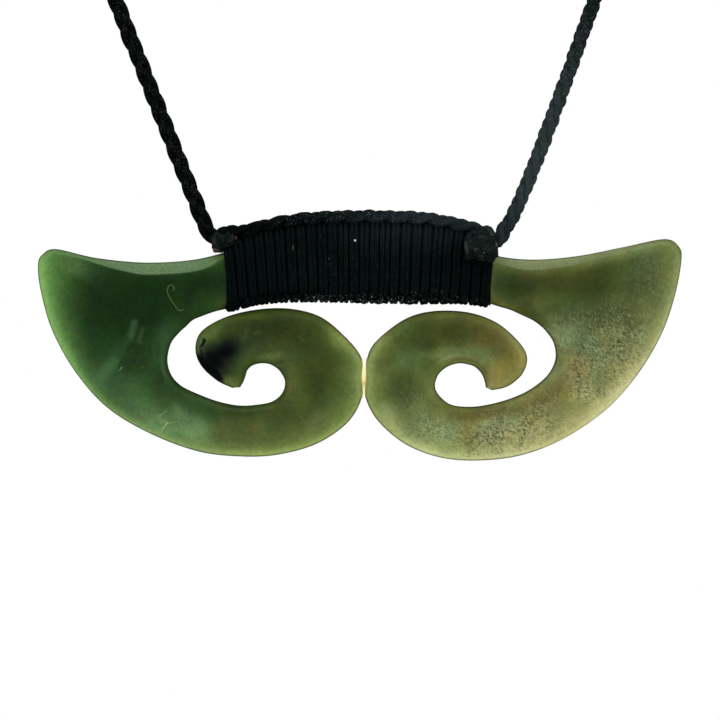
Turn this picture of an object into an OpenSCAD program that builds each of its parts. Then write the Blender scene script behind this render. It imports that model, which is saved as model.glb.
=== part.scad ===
// Koru breastplate necklace: a carved stone plate lashed to a plaited neck cord.
// Millimetres. +Z is up, +X is to the viewer's right, and the front of the plate faces -Y.
// The origin is at the nape, on the side of the clasp that rests against the neck.

/* [Stone plate] */
// Width of the plate from wing tip to wing tip
plate_w = 110; // [90:1:130]
// Thickness of the stone at the bar
plate_t = 5.6; // [5:0.1:7]
// Width of the rounded edge, measured in from the outline
edge_w = 1.6; // [1:0.1:2]
// How far the rounded edge falls from the face
edge_drop = 1.9; // [1:0.1:2]
// Extra half thickness where the face is fullest
crown = 0.2; // [0:0.05:0.4]

/* [Lashing] */
// Thickness of the wound thread over the stone
thread_d = 0.9; // [0.6:0.1:1.2]
// Number of turns of thread that show
turns = 26; // [16:1:34]
// Depth of the groove between two turns
groove = 0.3; // [0.1:0.05:0.5]
// Space between the stone and the thread
lash_gap = 0.15; // [0.1:0.05:0.3]

/* [Neck cord] */
// Diameter of the plaited cord
cord_d = 2.5; // [2:0.1:3]
// Distance from the nape forward to the bar
reach = 111; // [95:1:125]
// Height of the nape above the bar
drop = 156; // [140:1:175]

/* [Clasp] */
// Length of the barrel clasp
clasp_l = 12; // [10:1:16]
// Diameter of the barrel at its middle
clasp_d = 5; // [4.4:0.1:6]

/* [Hidden] */

// Plan sizes below are for a plate of this width, and grow with it.
drawn_w = 110;
grow = plate_w / drawn_w;

// Cross-sections of the stone from the end of each spiral, round the lobe, under the eye, round the
// wing and in to the bar. Distances are outwards from the middle and up from the middle of the bar.
// Columns: inner edge out, inner edge up, outer edge out, outer edge up, thinning, facet width.
LEFT = [
    [20.8, -21.2, 21.9, -21.2, 1.4, 0],
    [20.2, -20.6, 24.5, -20.2, 0.8, 0],
    [19.7, -19.6, 27.2, -17.6, 0.4, 0],
    [19.3, -18.6, 28.1, -14.7, 0.2, 0],
    [18.7, -17.9, 27.0, -11.8, 0.0, 0],
    [17.9, -17.5, 22.9, -9.4, 0.0, 0],
    [16.7, -17.3, 17.4, -8.1, 0.0, 0],
    [15.3, -17.5, 11.8, -8.0, 0.0, 0],
    [14.0, -18.3, 6.7, -9.4, 0.0, 0],
    [13.3, -19.2, 2.5, -12.8, 0.1, 0],
    [12.9, -20.0, -0.2, -16.3, 0.2, 0],
    [12.8, -20.8, -0.2, -19.8, 0.2, 0],
    [13.0, -21.8, -0.3, -23.2, 0.2, 0],
    [13.7, -22.9, 2.2, -27.3, 0.1, 0],
    [15.2, -23.9, 7.4, -30.8, 0.0, 0],
    [17.8, -24.4, 14.0, -32.8, 0.0, 0],
    [20.8, -24.5, 20.5, -33.2, 0.0, 0],
    [24.3, -23.9, 27.8, -32.2, 0.0, 0],
    [27.8, -22.7, 35.9, -29.0, 0.0, 0],
    [30.7, -21.2, 43.0, -24.7, 0.0, 0],
    [32.4, -19.2, 48.3, -18.8, 0.2, 0],
    [33.0, -16.7, 52.4, -11.8, 0.4, 0],
    [32.5, -13.8, 54.5, -5.0, 0.8, 0],
    [31.1, -11.9, 55.0, -0.5, 1.4, 0],
    [29.9, -10.8, 54.2, 1.3, 1.6, 0.6],
    [28.5, -9.9, 51.9, 2.2, 1.4, 1.0],
    [26.6, -9.1, 45.1, 0.7, 0.8, 1.9],
    [24.9, -8.5, 36.9, -0.1, 0.4, 2.1],
    [22.9, -8.0, 29.0, 0.3, 0.1, 2.1],
    [20.5, -7.3, 23.2, 1.6, 0.0, 1.3],
    [16.7, -6.7, 17.4, 3.5, 0.0, 0],
    [9.4, -6.4, 9.4, 5.2, 0.0, 0]
];
RIGHT = [
    [21.5, -21.4, 22.5, -21.9, 1.4, 0],
    [21.3, -20.4, 25.3, -21.2, 0.8, 0],
    [20.9, -19.3, 27.8, -19.0, 0.4, 0],
    [20.2, -18.4, 28.5, -16.1, 0.2, 0],
    [19.4, -17.8, 26.8, -13.3, 0.0, 0],
    [18.4, -17.5, 23.2, -10.3, 0.0, 0],
    [17.1, -17.3, 18.3, -8.7, 0.0, 0],
    [15.6, -17.6, 12.5, -8.4, 0.0, 0],
    [14.3, -18.3, 7.6, -9.8, 0.0, 0],
    [13.4, -19.2, 2.8, -13.5, 0.1, 0],
    [13.0, -20.1, 1.2, -16.5, 0.2, 0],
    [12.8, -20.9, 1.1, -19.9, 0.2, 0],
    [13.0, -22.0, 1.0, -23.3, 0.2, 0],
    [13.9, -23.2, 3.2, -27.3, 0.1, 0],
    [15.4, -24.3, 7.9, -31.2, 0.0, 0],
    [17.6, -24.8, 13.8, -33.4, 0.0, 0],
    [20.5, -24.8, 20.2, -33.9, 0.0, 0],
    [24.2, -23.8, 27.5, -33.0, 0.0, 0],
    [27.5, -22.6, 34.6, -30.0, 0.0, 0],
    [30.2, -21.0, 41.6, -25.1, 0.0, 0],
    [32.3, -19.0, 46.9, -19.4, 0.2, 0],
    [33.4, -16.5, 51.1, -12.6, 0.4, 0],
    [33.1, -13.9, 53.7, -6.0, 0.8, 0],
    [31.9, -12.0, 54.9, 0.3, 1.4, 0],
    [30.7, -10.8, 54.4, 2.7, 1.6, 0.4],
    [29.4, -9.9, 51.9, 3.9, 1.4, 0.6],
    [27.5, -9.0, 44.8, 2.5, 0.8, 1.0],
    [25.7, -8.2, 37.1, 1.0, 0.4, 1.6],
    [23.7, -7.6, 29.7, 0.4, 0.1, 1.9],
    [21.2, -7.0, 23.6, 1.0, 0.0, 1.3],
    [16.7, -6.5, 17.4, 2.9, 0.0, 0],
    [9.4, -6.4, 9.4, 5.2, 0.0, 0]
];
row_count = len(LEFT);
// The web joins the two spirals between these rows.
web_from = 10;
web_to = 12;
// Sections made for each row of the tables
row_steps = 2;

// Top of the lashing. Columns: across from the middle, up from the middle of the bar.
ARCH = [
    [-24, 4.9],
    [-21, 5.9],
    [-12, 8.0],
    [-3, 8.7],
    [12, 8.7],
    [19.5, 6.8],
    [23, 4.8]
];
arch_steps = 4;
// The lashing follows the stone's edges out to this far from the middle. Only the bar's stretch of
// each edge is higher than these.
under_reach = 27;
under_floor = -9;
over_reach = 30;
over_floor = -3;
// Ends of the lashing, and where its raised top starts, to the right of the left cord end
lash_left = -23.1;
lash_top_left = -20.9;
lash_right = 22.7;
// Thread over the stone where the top isn't raised
low_thread = 0.6;
// Corner radii of the lashing: along its bottom, along its raised top, and where the top isn't raised
lash_r_low = 1.5;
lash_r_high = 2.6;
lash_r_unraised = 1.3;
tunnel_r = 0.5;
// Steps in each corner
lash_corner = 4;
// The outline of one turn. Columns: share of the turn's width, share of the groove's depth.
TURN = [
    [0.12, 1],
    [0.35, 0],
    [0.75, 0]
];

// Melted cord ends. Columns: across, back from the lashing's front face, up, half depth, half height.
END_LEFT = [
    [-25.3, 2.6, 3.2, 0.5, 0.7],
    [-25.0, 2.6, 3.3, 1.2, 1.4],
    [-24.3, 2.6, 3.4, 1.7, 1.9],
    [-23.5, 2.5, 3.5, 1.8, 1.9],
    [-23.2, 2.5, 4.1, 1.8, 1.3],
    [-22.4, 2.5, 4.3, 1.9, 1.3],
    [-21.5, 2.5, 4.5, 1.8, 1.2],
    [-21.2, 2.5, 4.5, 1.3, 0.8]
];
END_RIGHT = [
    [17.7, -1.3, 2.4, 0.5, 1.2],
    [18.0, -1.4, 2.4, 1.2, 2.1],
    [18.7, -1.4, 2.5, 1.2, 2.4],
    [19.3, -1.2, 2.5, 1.0, 2.1],
    [20.5, -1.3, 2.4, 1.1, 2.4],
    [21.8, -1.4, 2.3, 1.2, 2.6],
    [22.8, -1.3, 2.2, 1.1, 2.3],
    [23.4, -1.2, 2.1, 0.6, 1.3]
];
end_sides = 12;

// Route of the two cords from the lashing to the clasp, from the middle of the bar.
// Columns: left cord across, left cord up, right cord across, right cord up, both back.
ROUTE = [
    [-21.1, 4.6, 22.9, 3.8, 1.6],
    [-22.6, 4.2, 23.6, 3.6, 1.8],
    [-24.1, 3.8, 24.2, 3.8, 1.9],
    [-25.2, 4.3, 24.7, 4.6, 1.9],
    [-26.0, 5.5, 25.1, 5.7, 1.9],
    [-26.7, 7.2, 25.7, 7.2, 1.9],
    [-29.0, 13, 27.9, 13, 2.2],
    [-33.0, 23, 31.7, 23, 3.2],
    [-37.4, 34, 35.9, 34, 5],
    [-41.8, 45, 40.1, 45, 8],
    [-47.2, 59, 45.4, 59, 13],
    [-53.0, 75, 51.2, 75, 21],
    [-58.2, 92, 57.0, 92, 32],
    [-61.8, 108, 61.4, 108, 46],
    [-63, 122, 63, 122, 61],
    [-60, 134, 60, 134, 77],
    [-52, 143, 52, 143, 92],
    [-40, 149, 40, 149, 103],
    [-24, 154, 24, 154, 111]
];
// The route is drawn for this reach and drop. Below this height it keeps to the bar instead.
drawn_reach = 111;
drawn_drop = 156;
bar_zone = 60;
cord_sides = 8;
cord_steps = 2;
// A point inside the loop, which the cord never runs towards
loop_mid = [0, 60, 70];

// Wall of the clasp round the cord's end
clasp_wall = 0.3;

// Shared geometry

function blend(a, b, t) = a * (1 - t) + b * t;
function unit(v) = v / norm(v);
function side_of(v, w) = abs(cross(unit(v), unit(w)));

// A smooth curve through the rows of a table, with every column carried along
function between_rows(a, b, c, d, t) =
    (2 * b + (c - a) * t + (2 * a - 5 * b + 4 * c - d) * t * t + (3 * b - a - 3 * c + d) * t * t * t) / 2;
function smooth(rows, steps) =
    let (last = len(rows) - 1)
    [for (i = [0:last - 1], k = [0:steps - 1])
        between_rows(rows[max(i - 1, 0)], rows[i], rows[i + 1], rows[min(i + 2, last)], k / steps),
     rows[last]];

// Triangles of a skin over rings that all have the same number of points
function quad(a, b, c, d) = [[a, b, c], [a, c, d]];
function skin(rings, sides) =
    [for (i = [0:rings - 2], k = [0:sides - 1])
        let (n = (k + 1) % sides)
        each quad(i * sides + k, i * sides + n, (i + 1) * sides + n, (i + 1) * sides + k)];
function first_cap(sides) = [[for (k = [sides - 1:-1:0]) k]];
function last_cap(rings, sides) = [[for (k = [0:sides - 1]) (rings - 1) * sides + k]];
function joined(rings) = [for (ring = rings) each ring];
function reversed(list) = [for (i = [len(list) - 1:-1:0]) list[i]];

module at_plate() {
    translate([0, -reach, -drop])
        children();
}

// The stone

function mirrored(row) = [-row[0], row[1], -row[2], row[3], row[4], row[5]];
function enlarged(row) = [row[0] * grow, row[1] * grow, row[2] * grow, row[3] * grow, row[4], row[5]];
BAND = smooth([
    for (row = LEFT) enlarged(mirrored(row)),
    for (i = [row_count - 1:-1:0]) enlarged(RIGHT[i])
], row_steps);
band_last = len(BAND) - 1;

function inner_point(i) = [BAND[i][0], BAND[i][1]];
function outer_point(i) = [BAND[i][2], BAND[i][3]];
function inner_run(i) = inner_point(min(i + 1, band_last)) - inner_point(max(i - 1, 0));
function outer_run(i) = outer_point(min(i + 1, band_last)) - outer_point(max(i - 1, 0));

// The rounding is measured square to the edge, however the section crosses it, down to this sine.
least_sine = 0.4;
// Each edge takes at most this share of a narrow section, and then falls less.
edge_share = 0.4;
least_fall = 0.4;
// Rounding goes from the wall to the face in these steps of the quarter turn.
edge_angles = [0, 30, 60, 90];
edge_count = len(edge_angles);
face_shares = [0.25, 0.5, 0.75];
ring_sides = 4 * edge_count + 2 * len(face_shares);

// Half a section, from the inner edge to the outer one. side is -1 for the front and 1 for the back.
// A facet replaces the rounding along the top of a wing on the front.
function half_section(i, side) =
    let (
        a = inner_point(i),
        b = outer_point(i),
        wide = norm(b - a),
        along = unit(b - a),
        half_t = (plate_t - BAND[i][4]) / 2,
        inner_slant = 1 / max(least_sine, side_of(inner_run(i), along)),
        outer_slant = 1 / max(least_sine, side_of(outer_run(i), along)),
        inner_w = min(edge_w * inner_slant, edge_share * wide),
        facet = side < 0 ? max(0, BAND[i][5]) : 0,
        flat = min(1, facet),
        outer_w = min(max(edge_w, facet) * outer_slant, edge_share * wide),
        fall = edge_drop * min(1, blend(least_fall, 1, inner_w / edge_w))
    )
    [
        for (angle = edge_angles)
            let (p = a + along * inner_w * (1 - cos(angle)))
            [p[0], side * (half_t - fall * (1 - sin(angle))), p[1]],
        for (share = face_shares)
            let (p = blend(a + along * inner_w, b - along * outer_w, share))
            [p[0], side * (half_t + crown * sin(180 * share)), p[1]],
        for (k = [edge_count - 1:-1:0])
            let (
                step = k / (edge_count - 1),
                in = blend(1 - cos(edge_angles[k]), step, flat),
                down = blend(1 - sin(edge_angles[k]), 1 - step, flat),
                p = b - along * outer_w * in
            )
            [p[0], side * (half_t - fall * down), p[1]]
    ];
function stone_section(i) = concat(half_section(i, -1), reversed(half_section(i, 1)));

// The wall at the outer edge lies between these two points of a section.
outer_front = ring_sides / 2 - 1;
outer_back = ring_sides / 2;
web_first = web_from * row_steps;
web_last = web_to * row_steps;
function in_web(i) =
    (i >= web_first && i < web_last) || (band_last - i > web_first && band_last - i <= web_last);
function stone_skin() =
    [for (i = [0:band_last - 1], k = [0:ring_sides - 1])
        let (n = (k + 1) % ring_sides)
        if (!(k == outer_front && in_web(i)))
            each quad(i * ring_sides + k, i * ring_sides + n,
                      (i + 1) * ring_sides + n, (i + 1) * ring_sides + k)];
// The web is a thin wall from the left spiral's edge to the right one's.
function at_left(i, k) = i * ring_sides + k;
function at_right(i, k) = (band_last - i) * ring_sides + k;
function web_skin() = [
    for (i = [web_first:web_last - 1]) each [
        each quad(at_left(i, outer_front), at_right(i, outer_front),
                  at_right(i + 1, outer_front), at_left(i + 1, outer_front)),
        each quad(at_left(i, outer_back), at_left(i + 1, outer_back),
                  at_right(i + 1, outer_back), at_right(i, outer_back))
    ],
    each quad(at_left(web_first, outer_front), at_left(web_first, outer_back),
              at_right(web_first, outer_back), at_right(web_first, outer_front)),
    each quad(at_left(web_last, outer_front), at_right(web_last, outer_front),
              at_right(web_last, outer_back), at_left(web_last, outer_back))
];

module koru_plate() {
    color("olivedrab")
        at_plate()
            polyhedron(
                points = joined([for (i = [0:band_last]) stone_section(i)]),
                faces = concat(
                    stone_skin(),
                    web_skin(),
                    first_cap(ring_sides),
                    last_cap(band_last + 1, ring_sides)
                )
            );
}

// The lashing

function stretch(edge, far, floor) =
    [for (point = edge) if (abs(point[0]) < far * grow && point[1] > floor * grow) point];
UNDER = stretch([for (row = BAND) [row[0], row[1]]], under_reach, under_floor);
OVER = stretch([for (row = BAND) [row[2], row[3]]], over_reach, over_floor);
ARCH_LINE = smooth([for (row = ARCH) row * grow], arch_steps);
function stone_under(x) = lookup(x, UNDER);
function stone_over(x) = lookup(x, OVER);
function arch(x) = lookup(x, ARCH_LINE);

// A rounded box section at x, with the same number of points on each corner
function corner(x, y, z, r, from) =
    [for (k = [0:lash_corner]) let (a = from + 90 * k / lash_corner) [x, y + r * cos(a), z + r * sin(a)]];
function box_section(x, half_w, low, high, r_low, r_high) = reversed(concat(
    corner(x, half_w - r_high, high - r_high, r_high, 0),
    corner(x, -half_w + r_high, high - r_high, r_high, 90),
    corner(x, -half_w + r_low, low + r_low, r_low, 180),
    corner(x, half_w - r_low, low + r_low, r_low, 270)
));
lash_sides = 4 * (lash_corner + 1);
tunnel_half = plate_t / 2 + crown + lash_gap;
function tunnel_low(x) = stone_under(x) - lash_gap;
function tunnel_high(x) = stone_over(x) + lash_gap;
lash_half = tunnel_half + thread_d;
function turn_section(x, depth) =
    let (
        raised = x > lash_top_left * grow,
        over = raised ? arch(x) : tunnel_high(x) + low_thread
    )
    box_section(x, lash_half - depth, tunnel_low(x) - thread_d + depth, over - depth,
                lash_r_low, raised ? lash_r_high : lash_r_unraised);
function tunnel_section(x) = box_section(x, tunnel_half, tunnel_low(x), tunnel_high(x), tunnel_r, tunnel_r);

lash_pitch = (lash_right - lash_left) * grow / turns;
function turn_start(i) = lash_left * grow + lash_pitch * i;
// Outside from left to right, then back through the tunnel that the bar fills
LASH_RINGS = concat(
    [turn_section(turn_start(0), groove)],
    [for (i = [0:turns - 1], row = TURN) turn_section(turn_start(i) + lash_pitch * row[0], groove * row[1])],
    [turn_section(turn_start(turns), groove)],
    [for (i = [turns:-1:0]) tunnel_section(turn_start(i))]
);
module binding() {
    color([0.06, 0.07, 0.07])
        at_plate()
            polyhedron(
                points = joined(LASH_RINGS),
                faces = concat(
                    skin(len(LASH_RINGS), lash_sides),
                    [for (k = [0:lash_sides - 1])
                        let (n = (k + 1) % lash_sides, last = (len(LASH_RINGS) - 1) * lash_sides)
                        each quad(last + k, last + n, n, k)]
                )
            );
}

// Melted cord ends

function end_section(row) =
    [for (k = [0:end_sides - 1]) let (a = 360 * k / end_sides)
        [row[0] * grow, row[1] - lash_half + row[3] * cos(a), row[2] * grow - row[4] * sin(a)]];
module melted_end(rows) {
    color([0.2, 0.18, 0.16])
        at_plate()
            polyhedron(
                points = joined([for (row = rows) end_section(row)]),
                faces = concat(
                    skin(len(rows), end_sides),
                    first_cap(end_sides),
                    last_cap(len(rows), end_sides)
                )
            );
}

module cord_end_left() {
    melted_end(END_LEFT);
}

module cord_end_right() {
    melted_end(END_RIGHT);
}

// The neck cord

// side is 0 for the left cord and 1 for the right one. The last point is on the clasp's end.
function route(side) = concat(
    [for (row = ROUTE)
        let (up = row[2 * side + 1], free = min(1, up / bar_zone))
        [
            row[2 * side] * blend(grow, 1, free),
            row[4] * blend(1, reach / drawn_reach, free),
            up * blend(grow, drop / drawn_drop, free)
        ]],
    [[(side == 0 ? -1 : 1) * clasp_l / 2, reach + clasp_d / 2, drop]]
);
// Both ends of a cord are cut square to X.
function heading(line, i) =
    let (last = len(line) - 1, outward = [sign(line[0][0]), 0, 0])
    i == 0 ? outward : i == last ? -outward : unit(line[i + 1] - line[i - 1]);
function cord_ring(centre, ahead) =
    let (
        right = unit(cross(ahead, centre - loop_mid)),
        up = cross(right, ahead)
    )
    [for (k = [0:cord_sides - 1]) let (a = 360 * k / cord_sides)
        centre + (right * cos(a) + up * sin(a)) * cord_d / 2];
module cord(side) {
    line = smooth(route(side), cord_steps);
    color([0.05, 0.05, 0.06])
        at_plate()
            polyhedron(
                points = joined([for (i = [0:len(line) - 1]) cord_ring(line[i], heading(line, i))]),
                faces = concat(
                    skin(len(line), cord_sides),
                    first_cap(cord_sides),
                    last_cap(len(line), cord_sides)
                )
            );
}

module cord_left() {
    cord(0);
}

module cord_right() {
    cord(1);
}

// A plain barrel that lies along X behind the neck

module clasp() {
    end_r = cord_d / 2 + clasp_wall;
    bulge = clasp_d / 2 - end_r;
    half_l = clasp_l / 2;
    bow_r = (half_l * half_l + bulge * bulge) / (2 * bulge);
    color([0.16, 0.13, 0.11])
        translate([0, clasp_d / 2, 0])
            rotate([0, 90, 0])
                rotate_extrude($fn = 48)
                    intersection() {
                        translate([clasp_d / 2 - bow_r, 0])
                            circle(r = bow_r, $fn = 240);
                        translate([0, -half_l])
                            square([clasp_d, clasp_l]);
                    }
}

koru_plate();
binding();
cord_end_left();
cord_end_right();
cord_left();
cord_right();
clasp();
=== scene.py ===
"""Koru breastplate necklace: the looks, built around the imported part.

Lengths in the tables are millimetres, as in the part's source, and meshes are made in metres.
The bar's middle is the plate's own origin: across, back and up are measured from it.
"""

import functools
import math

import bpy
import numpy as np
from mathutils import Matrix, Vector, kdtree, noise


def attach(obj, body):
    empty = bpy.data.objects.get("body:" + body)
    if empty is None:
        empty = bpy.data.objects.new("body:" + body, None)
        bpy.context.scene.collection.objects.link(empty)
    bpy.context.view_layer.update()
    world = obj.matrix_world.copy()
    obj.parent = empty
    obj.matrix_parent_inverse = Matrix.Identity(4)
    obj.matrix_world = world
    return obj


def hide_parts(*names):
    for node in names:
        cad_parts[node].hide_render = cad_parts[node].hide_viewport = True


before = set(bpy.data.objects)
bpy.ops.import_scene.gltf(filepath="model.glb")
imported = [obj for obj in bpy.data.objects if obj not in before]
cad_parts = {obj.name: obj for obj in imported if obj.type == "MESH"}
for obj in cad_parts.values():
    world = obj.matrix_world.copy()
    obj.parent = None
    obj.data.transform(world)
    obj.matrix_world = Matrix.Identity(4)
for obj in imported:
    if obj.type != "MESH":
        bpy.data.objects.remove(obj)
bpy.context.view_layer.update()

MM = 0.001
# The middle of the bar, as the part's source places it
BAR = np.array([0.0, -111.0, -156.0])


# The stone's outline

# Sections from the end of a spiral, round the lobe, under the eye, round the wing and in to the bar.
# Columns: inner edge out, inner edge up, outer edge out, outer edge up, thinning, facet width.
LEFT = [
    [20.5, -21.4, 21.8, -21.5, 1.4, 0],
    [20.0, -20.6, 24.5, -20.2, 0.8, 0],
    [19.6, -19.6, 27.2, -17.6, 0.4, 0],
    [19.3, -18.6, 28.1, -14.7, 0.2, 0],
    [18.7, -17.9, 27.0, -11.8, 0.0, 0],
    [17.9, -17.5, 22.9, -9.4, 0.0, 0],
    [16.7, -17.3, 17.4, -8.1, 0.0, 0],
    [15.3, -17.5, 11.8, -8.0, 0.0, 0],
    [14.0, -18.3, 6.7, -9.4, 0.0, 0],
    [13.3, -19.2, 2.5, -12.8, 0.1, 0],
    [12.9, -20.0, -0.2, -16.3, 0.2, 0],
    [12.8, -20.8, -0.2, -19.8, 0.2, 0],
    [13.0, -21.8, -0.3, -23.2, 0.2, 0],
    [13.7, -22.9, 2.1, -27.4, 0.1, 0],
    [15.2, -23.9, 7.3, -31.0, 0.0, 0],
    [17.8, -24.4, 14.0, -32.9, 0.0, 0],
    [20.8, -24.5, 20.5, -33.2, 0.0, 0],
    [24.3, -23.8, 27.8, -32.3, 0.0, 0],
    [27.8, -22.5, 36.0, -29.2, 0.0, 0],
    [30.6, -21.1, 43.1, -24.9, 0.0, 0],
    [32.3, -19.2, 48.5, -18.9, 0.2, 0],
    [32.9, -16.7, 52.5, -11.8, 0.4, 0],
    [32.3, -13.9, 54.5, -5.0, 0.8, 0],
    [30.9, -12.1, 55.0, -0.5, 1.4, 0],
    [29.7, -11.0, 54.2, 1.3, 1.6, 0.6],
    [28.5, -9.9, 51.9, 2.2, 1.4, 1.0],
    [26.6, -9.1, 45.1, 0.7, 0.8, 1.9],
    [24.9, -8.5, 36.9, -0.1, 0.4, 2.1],
    [22.9, -8.0, 29.0, 0.3, 0.1, 2.1],
    [20.5, -7.3, 23.2, 1.6, 0.0, 1.3],
    [16.7, -6.5, 17.4, 3.5, 0.0, 0],
    [9.4, -6.1, 9.4, 5.2, 0.0, 0],
]
RIGHT = [
    [21.5, -21.4, 22.5, -21.9, 1.4, 0],
    [21.3, -20.4, 25.3, -21.2, 0.8, 0],
    [20.9, -19.3, 27.8, -19.0, 0.4, 0],
    [20.2, -18.4, 28.5, -16.1, 0.2, 0],
    [19.4, -17.8, 26.8, -13.3, 0.0, 0],
    [18.4, -17.5, 23.2, -10.3, 0.0, 0],
    [17.1, -17.3, 18.4, -8.6, 0.0, 0],
    [15.6, -17.6, 12.5, -8.4, 0.0, 0],
    [14.3, -18.3, 7.6, -9.8, 0.0, 0],
    [13.4, -19.2, 2.8, -13.5, 0.1, 0],
    [13.0, -20.1, 1.2, -16.5, 0.2, 0],
    [12.8, -20.9, 1.1, -19.9, 0.2, 0],
    [13.0, -22.0, 1.0, -23.3, 0.2, 0],
    [13.9, -23.2, 3.2, -27.3, 0.1, 0],
    [15.4, -24.3, 7.9, -31.2, 0.0, 0],
    [17.6, -24.7, 13.8, -33.4, 0.0, 0],
    [20.5, -24.6, 20.2, -33.9, 0.0, 0],
    [24.2, -23.8, 27.5, -33.0, 0.0, 0],
    [27.5, -22.6, 34.7, -30.2, 0.0, 0],
    [30.2, -21.0, 41.8, -25.4, 0.0, 0],
    [32.3, -19.0, 47.1, -19.6, 0.2, 0],
    [33.4, -16.5, 51.3, -12.7, 0.4, 0],
    [33.1, -13.9, 53.7, -6.0, 0.8, 0],
    [31.9, -12.0, 54.9, 0.3, 1.4, 0],
    [30.7, -10.8, 54.4, 2.7, 1.6, 0.4],
    [29.4, -9.9, 51.9, 3.9, 1.4, 0.6],
    [27.5, -9.0, 44.8, 2.5, 0.8, 1.0],
    [25.7, -8.2, 37.1, 1.0, 0.4, 1.6],
    [23.7, -7.6, 29.7, 0.4, 0.1, 1.9],
    [21.2, -6.9, 23.6, 1.0, 0.0, 1.3],
    [16.7, -6.4, 17.4, 2.9, 0.0, 0],
    [9.4, -6.4, 9.4, 5.2, 0.0, 0],
]
WEB_FROM, WEB_TO = 10, 12

# Sizes of the stone's section, as in the part's source
PLATE_T = 5.6
EDGE_W = 1.6
EDGE_DROP = 1.9
CROWN = 0.2
LEAST_SINE = 0.4
EDGE_SHARE = 0.4
LEAST_FALL = 0.4
# A facet this wide has wholly replaced the edge's rounding.
FULL_FACET = 1.5

# Fineness of the stone's mesh
STATIONS_PER_ROW = 14
EDGE_STEPS = 7
FRONT_STEPS = 22
BACK_STEPS = 10
WEB_COLUMNS = 6
# Hand finishing leaves the faces a little uneven.
UNEVEN = 0.05
UNEVEN_SIZE = 9.0
# The rim's painted glow, light through the thin stone, runs from the lobes' inner side round the belt to the
# wings' tips.
RIM_FROM, RIM_TO = 9, 23


# The stone's mesh

def smooth_rows(rows, steps):
    """A Catmull-Rom curve through the rows of a table, with every column carried along."""
    rows = np.array(rows, float)
    last = len(rows) - 1
    made = []
    for i in range(last):
        a, b, c, d = rows[max(i - 1, 0)], rows[i], rows[i + 1], rows[min(i + 2, last)]
        for t in np.arange(steps) / steps:
            made.append((
                2 * b + (c - a) * t + (2 * a - 5 * b + 4 * c - d) * t**2 + (3 * b - a - 3 * c + d) * t**3
            ) / 2)
    made.append(rows[last])
    return np.array(made)


def stone_band():
    """Every section of the band, from the end of the left spiral to the end of the right one."""
    left = np.array(LEFT, float) * [-1, 1, -1, 1, 1, 1]
    right = np.array(RIGHT, float)[::-1]
    return smooth_rows(np.vstack([left, right]), STATIONS_PER_ROW)


def sine_to(edge, along):
    """Sine of the angle at which a section crosses an edge, down to the least one."""
    here = np.arange(len(edge))
    run = edge[np.minimum(here + 1, len(edge) - 1)] - edge[np.maximum(here - 1, 0)]
    run /= np.linalg.norm(run, axis=1, keepdims=True)
    return np.maximum(LEAST_SINE, np.abs(run[:, 0] * along[:, 1] - run[:, 1] * along[:, 0]))


def half_sections(band, side, face_steps):
    """Points of half of every section, from its inner edge to its outer one, and their facet shares."""
    a, b = band[:, 0:2], band[:, 2:4]
    wide = np.linalg.norm(b - a, axis=1)
    along = (b - a) / wide[:, None]
    half_t = (PLATE_T - band[:, 4]) / 2
    facet = np.maximum(0, band[:, 5]) if side < 0 else np.zeros(len(band))
    flat = smoothstep(facet / FULL_FACET)
    inner_w = np.minimum(EDGE_W / sine_to(a, along), EDGE_SHARE * wide)
    outer_w = np.minimum((EDGE_W + (facet - EDGE_W) * flat) / sine_to(b, along), EDGE_SHARE * wide)
    fall = EDGE_DROP * np.minimum(1, LEAST_FALL + (1 - LEAST_FALL) * inner_w / EDGE_W)

    none = np.zeros(len(band))
    columns, facets = [], []

    def column(point, height, share):
        columns.append(np.column_stack([point[:, 0], side * height, point[:, 1]]))
        facets.append(share)

    for k in range(EDGE_STEPS + 1):
        angle = math.pi / 2 * k / EDGE_STEPS
        inset = inner_w * (1 - math.cos(angle))
        column(a + along * inset[:, None], half_t - fall * (1 - math.sin(angle)), none)
    start, end = a + along * inner_w[:, None], b - along * outer_w[:, None]
    for k in range(1, face_steps):
        share = (1 - math.cos(math.pi * k / face_steps)) / 2
        column(start + (end - start) * share, half_t + CROWN * math.sin(math.pi * share), none)
    for k in range(EDGE_STEPS, -1, -1):
        step = k / EDGE_STEPS
        angle = math.pi / 2 * step
        inset = (1 - flat) * (1 - math.cos(angle)) + flat * step
        down = (1 - flat) * (1 - math.sin(angle)) + flat * (1 - step)
        column(b - along * (outer_w * inset)[:, None], half_t - fall * down, flat if k < EDGE_STEPS else none)
    return columns, facets


def smoothstep(t):
    """0 to 1 with an easy start and end."""
    t = np.clip(t, 0, 1)
    return t * t * (3 - 2 * t)


# Large primes that turn a cell's place into a number without a pattern
CELL_PRIMES = (73856093, 19349663, 83492791)
SEED_PRIME = 8191
STIR_PRIME = 7919
NUMBERS = 1000003


def value_noise(points, size, seed):
    """Smooth noise from 0 to 1 at points in mm, in cells of the given size."""
    cell = np.floor(points / size).astype(np.int64)
    share = smoothstep(points / size - cell)
    total = np.zeros(len(points))
    for corner in range(1 << points.shape[1]):
        weight = np.ones(len(points))
        number = np.full(len(points), seed * SEED_PRIME, np.int64)
        for axis, prime in zip(range(points.shape[1]), CELL_PRIMES):
            bit = corner >> axis & 1
            weight *= share[:, axis] if bit else 1 - share[:, axis]
            number ^= (cell[:, axis] + bit) * prime
        total += weight * (number * number % NUMBERS * STIR_PRIME % NUMBERS) / NUMBERS
    return total


def clouds(points, size, seed):
    """Three octaves of noise, from -1 to 1."""
    octaves = (1, 0.5, 0.25)
    total = sum(value_noise(points, size * octave, seed + k) * octave for k, octave in enumerate(octaves))
    return total / sum(octaves) * 2 - 1


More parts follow.
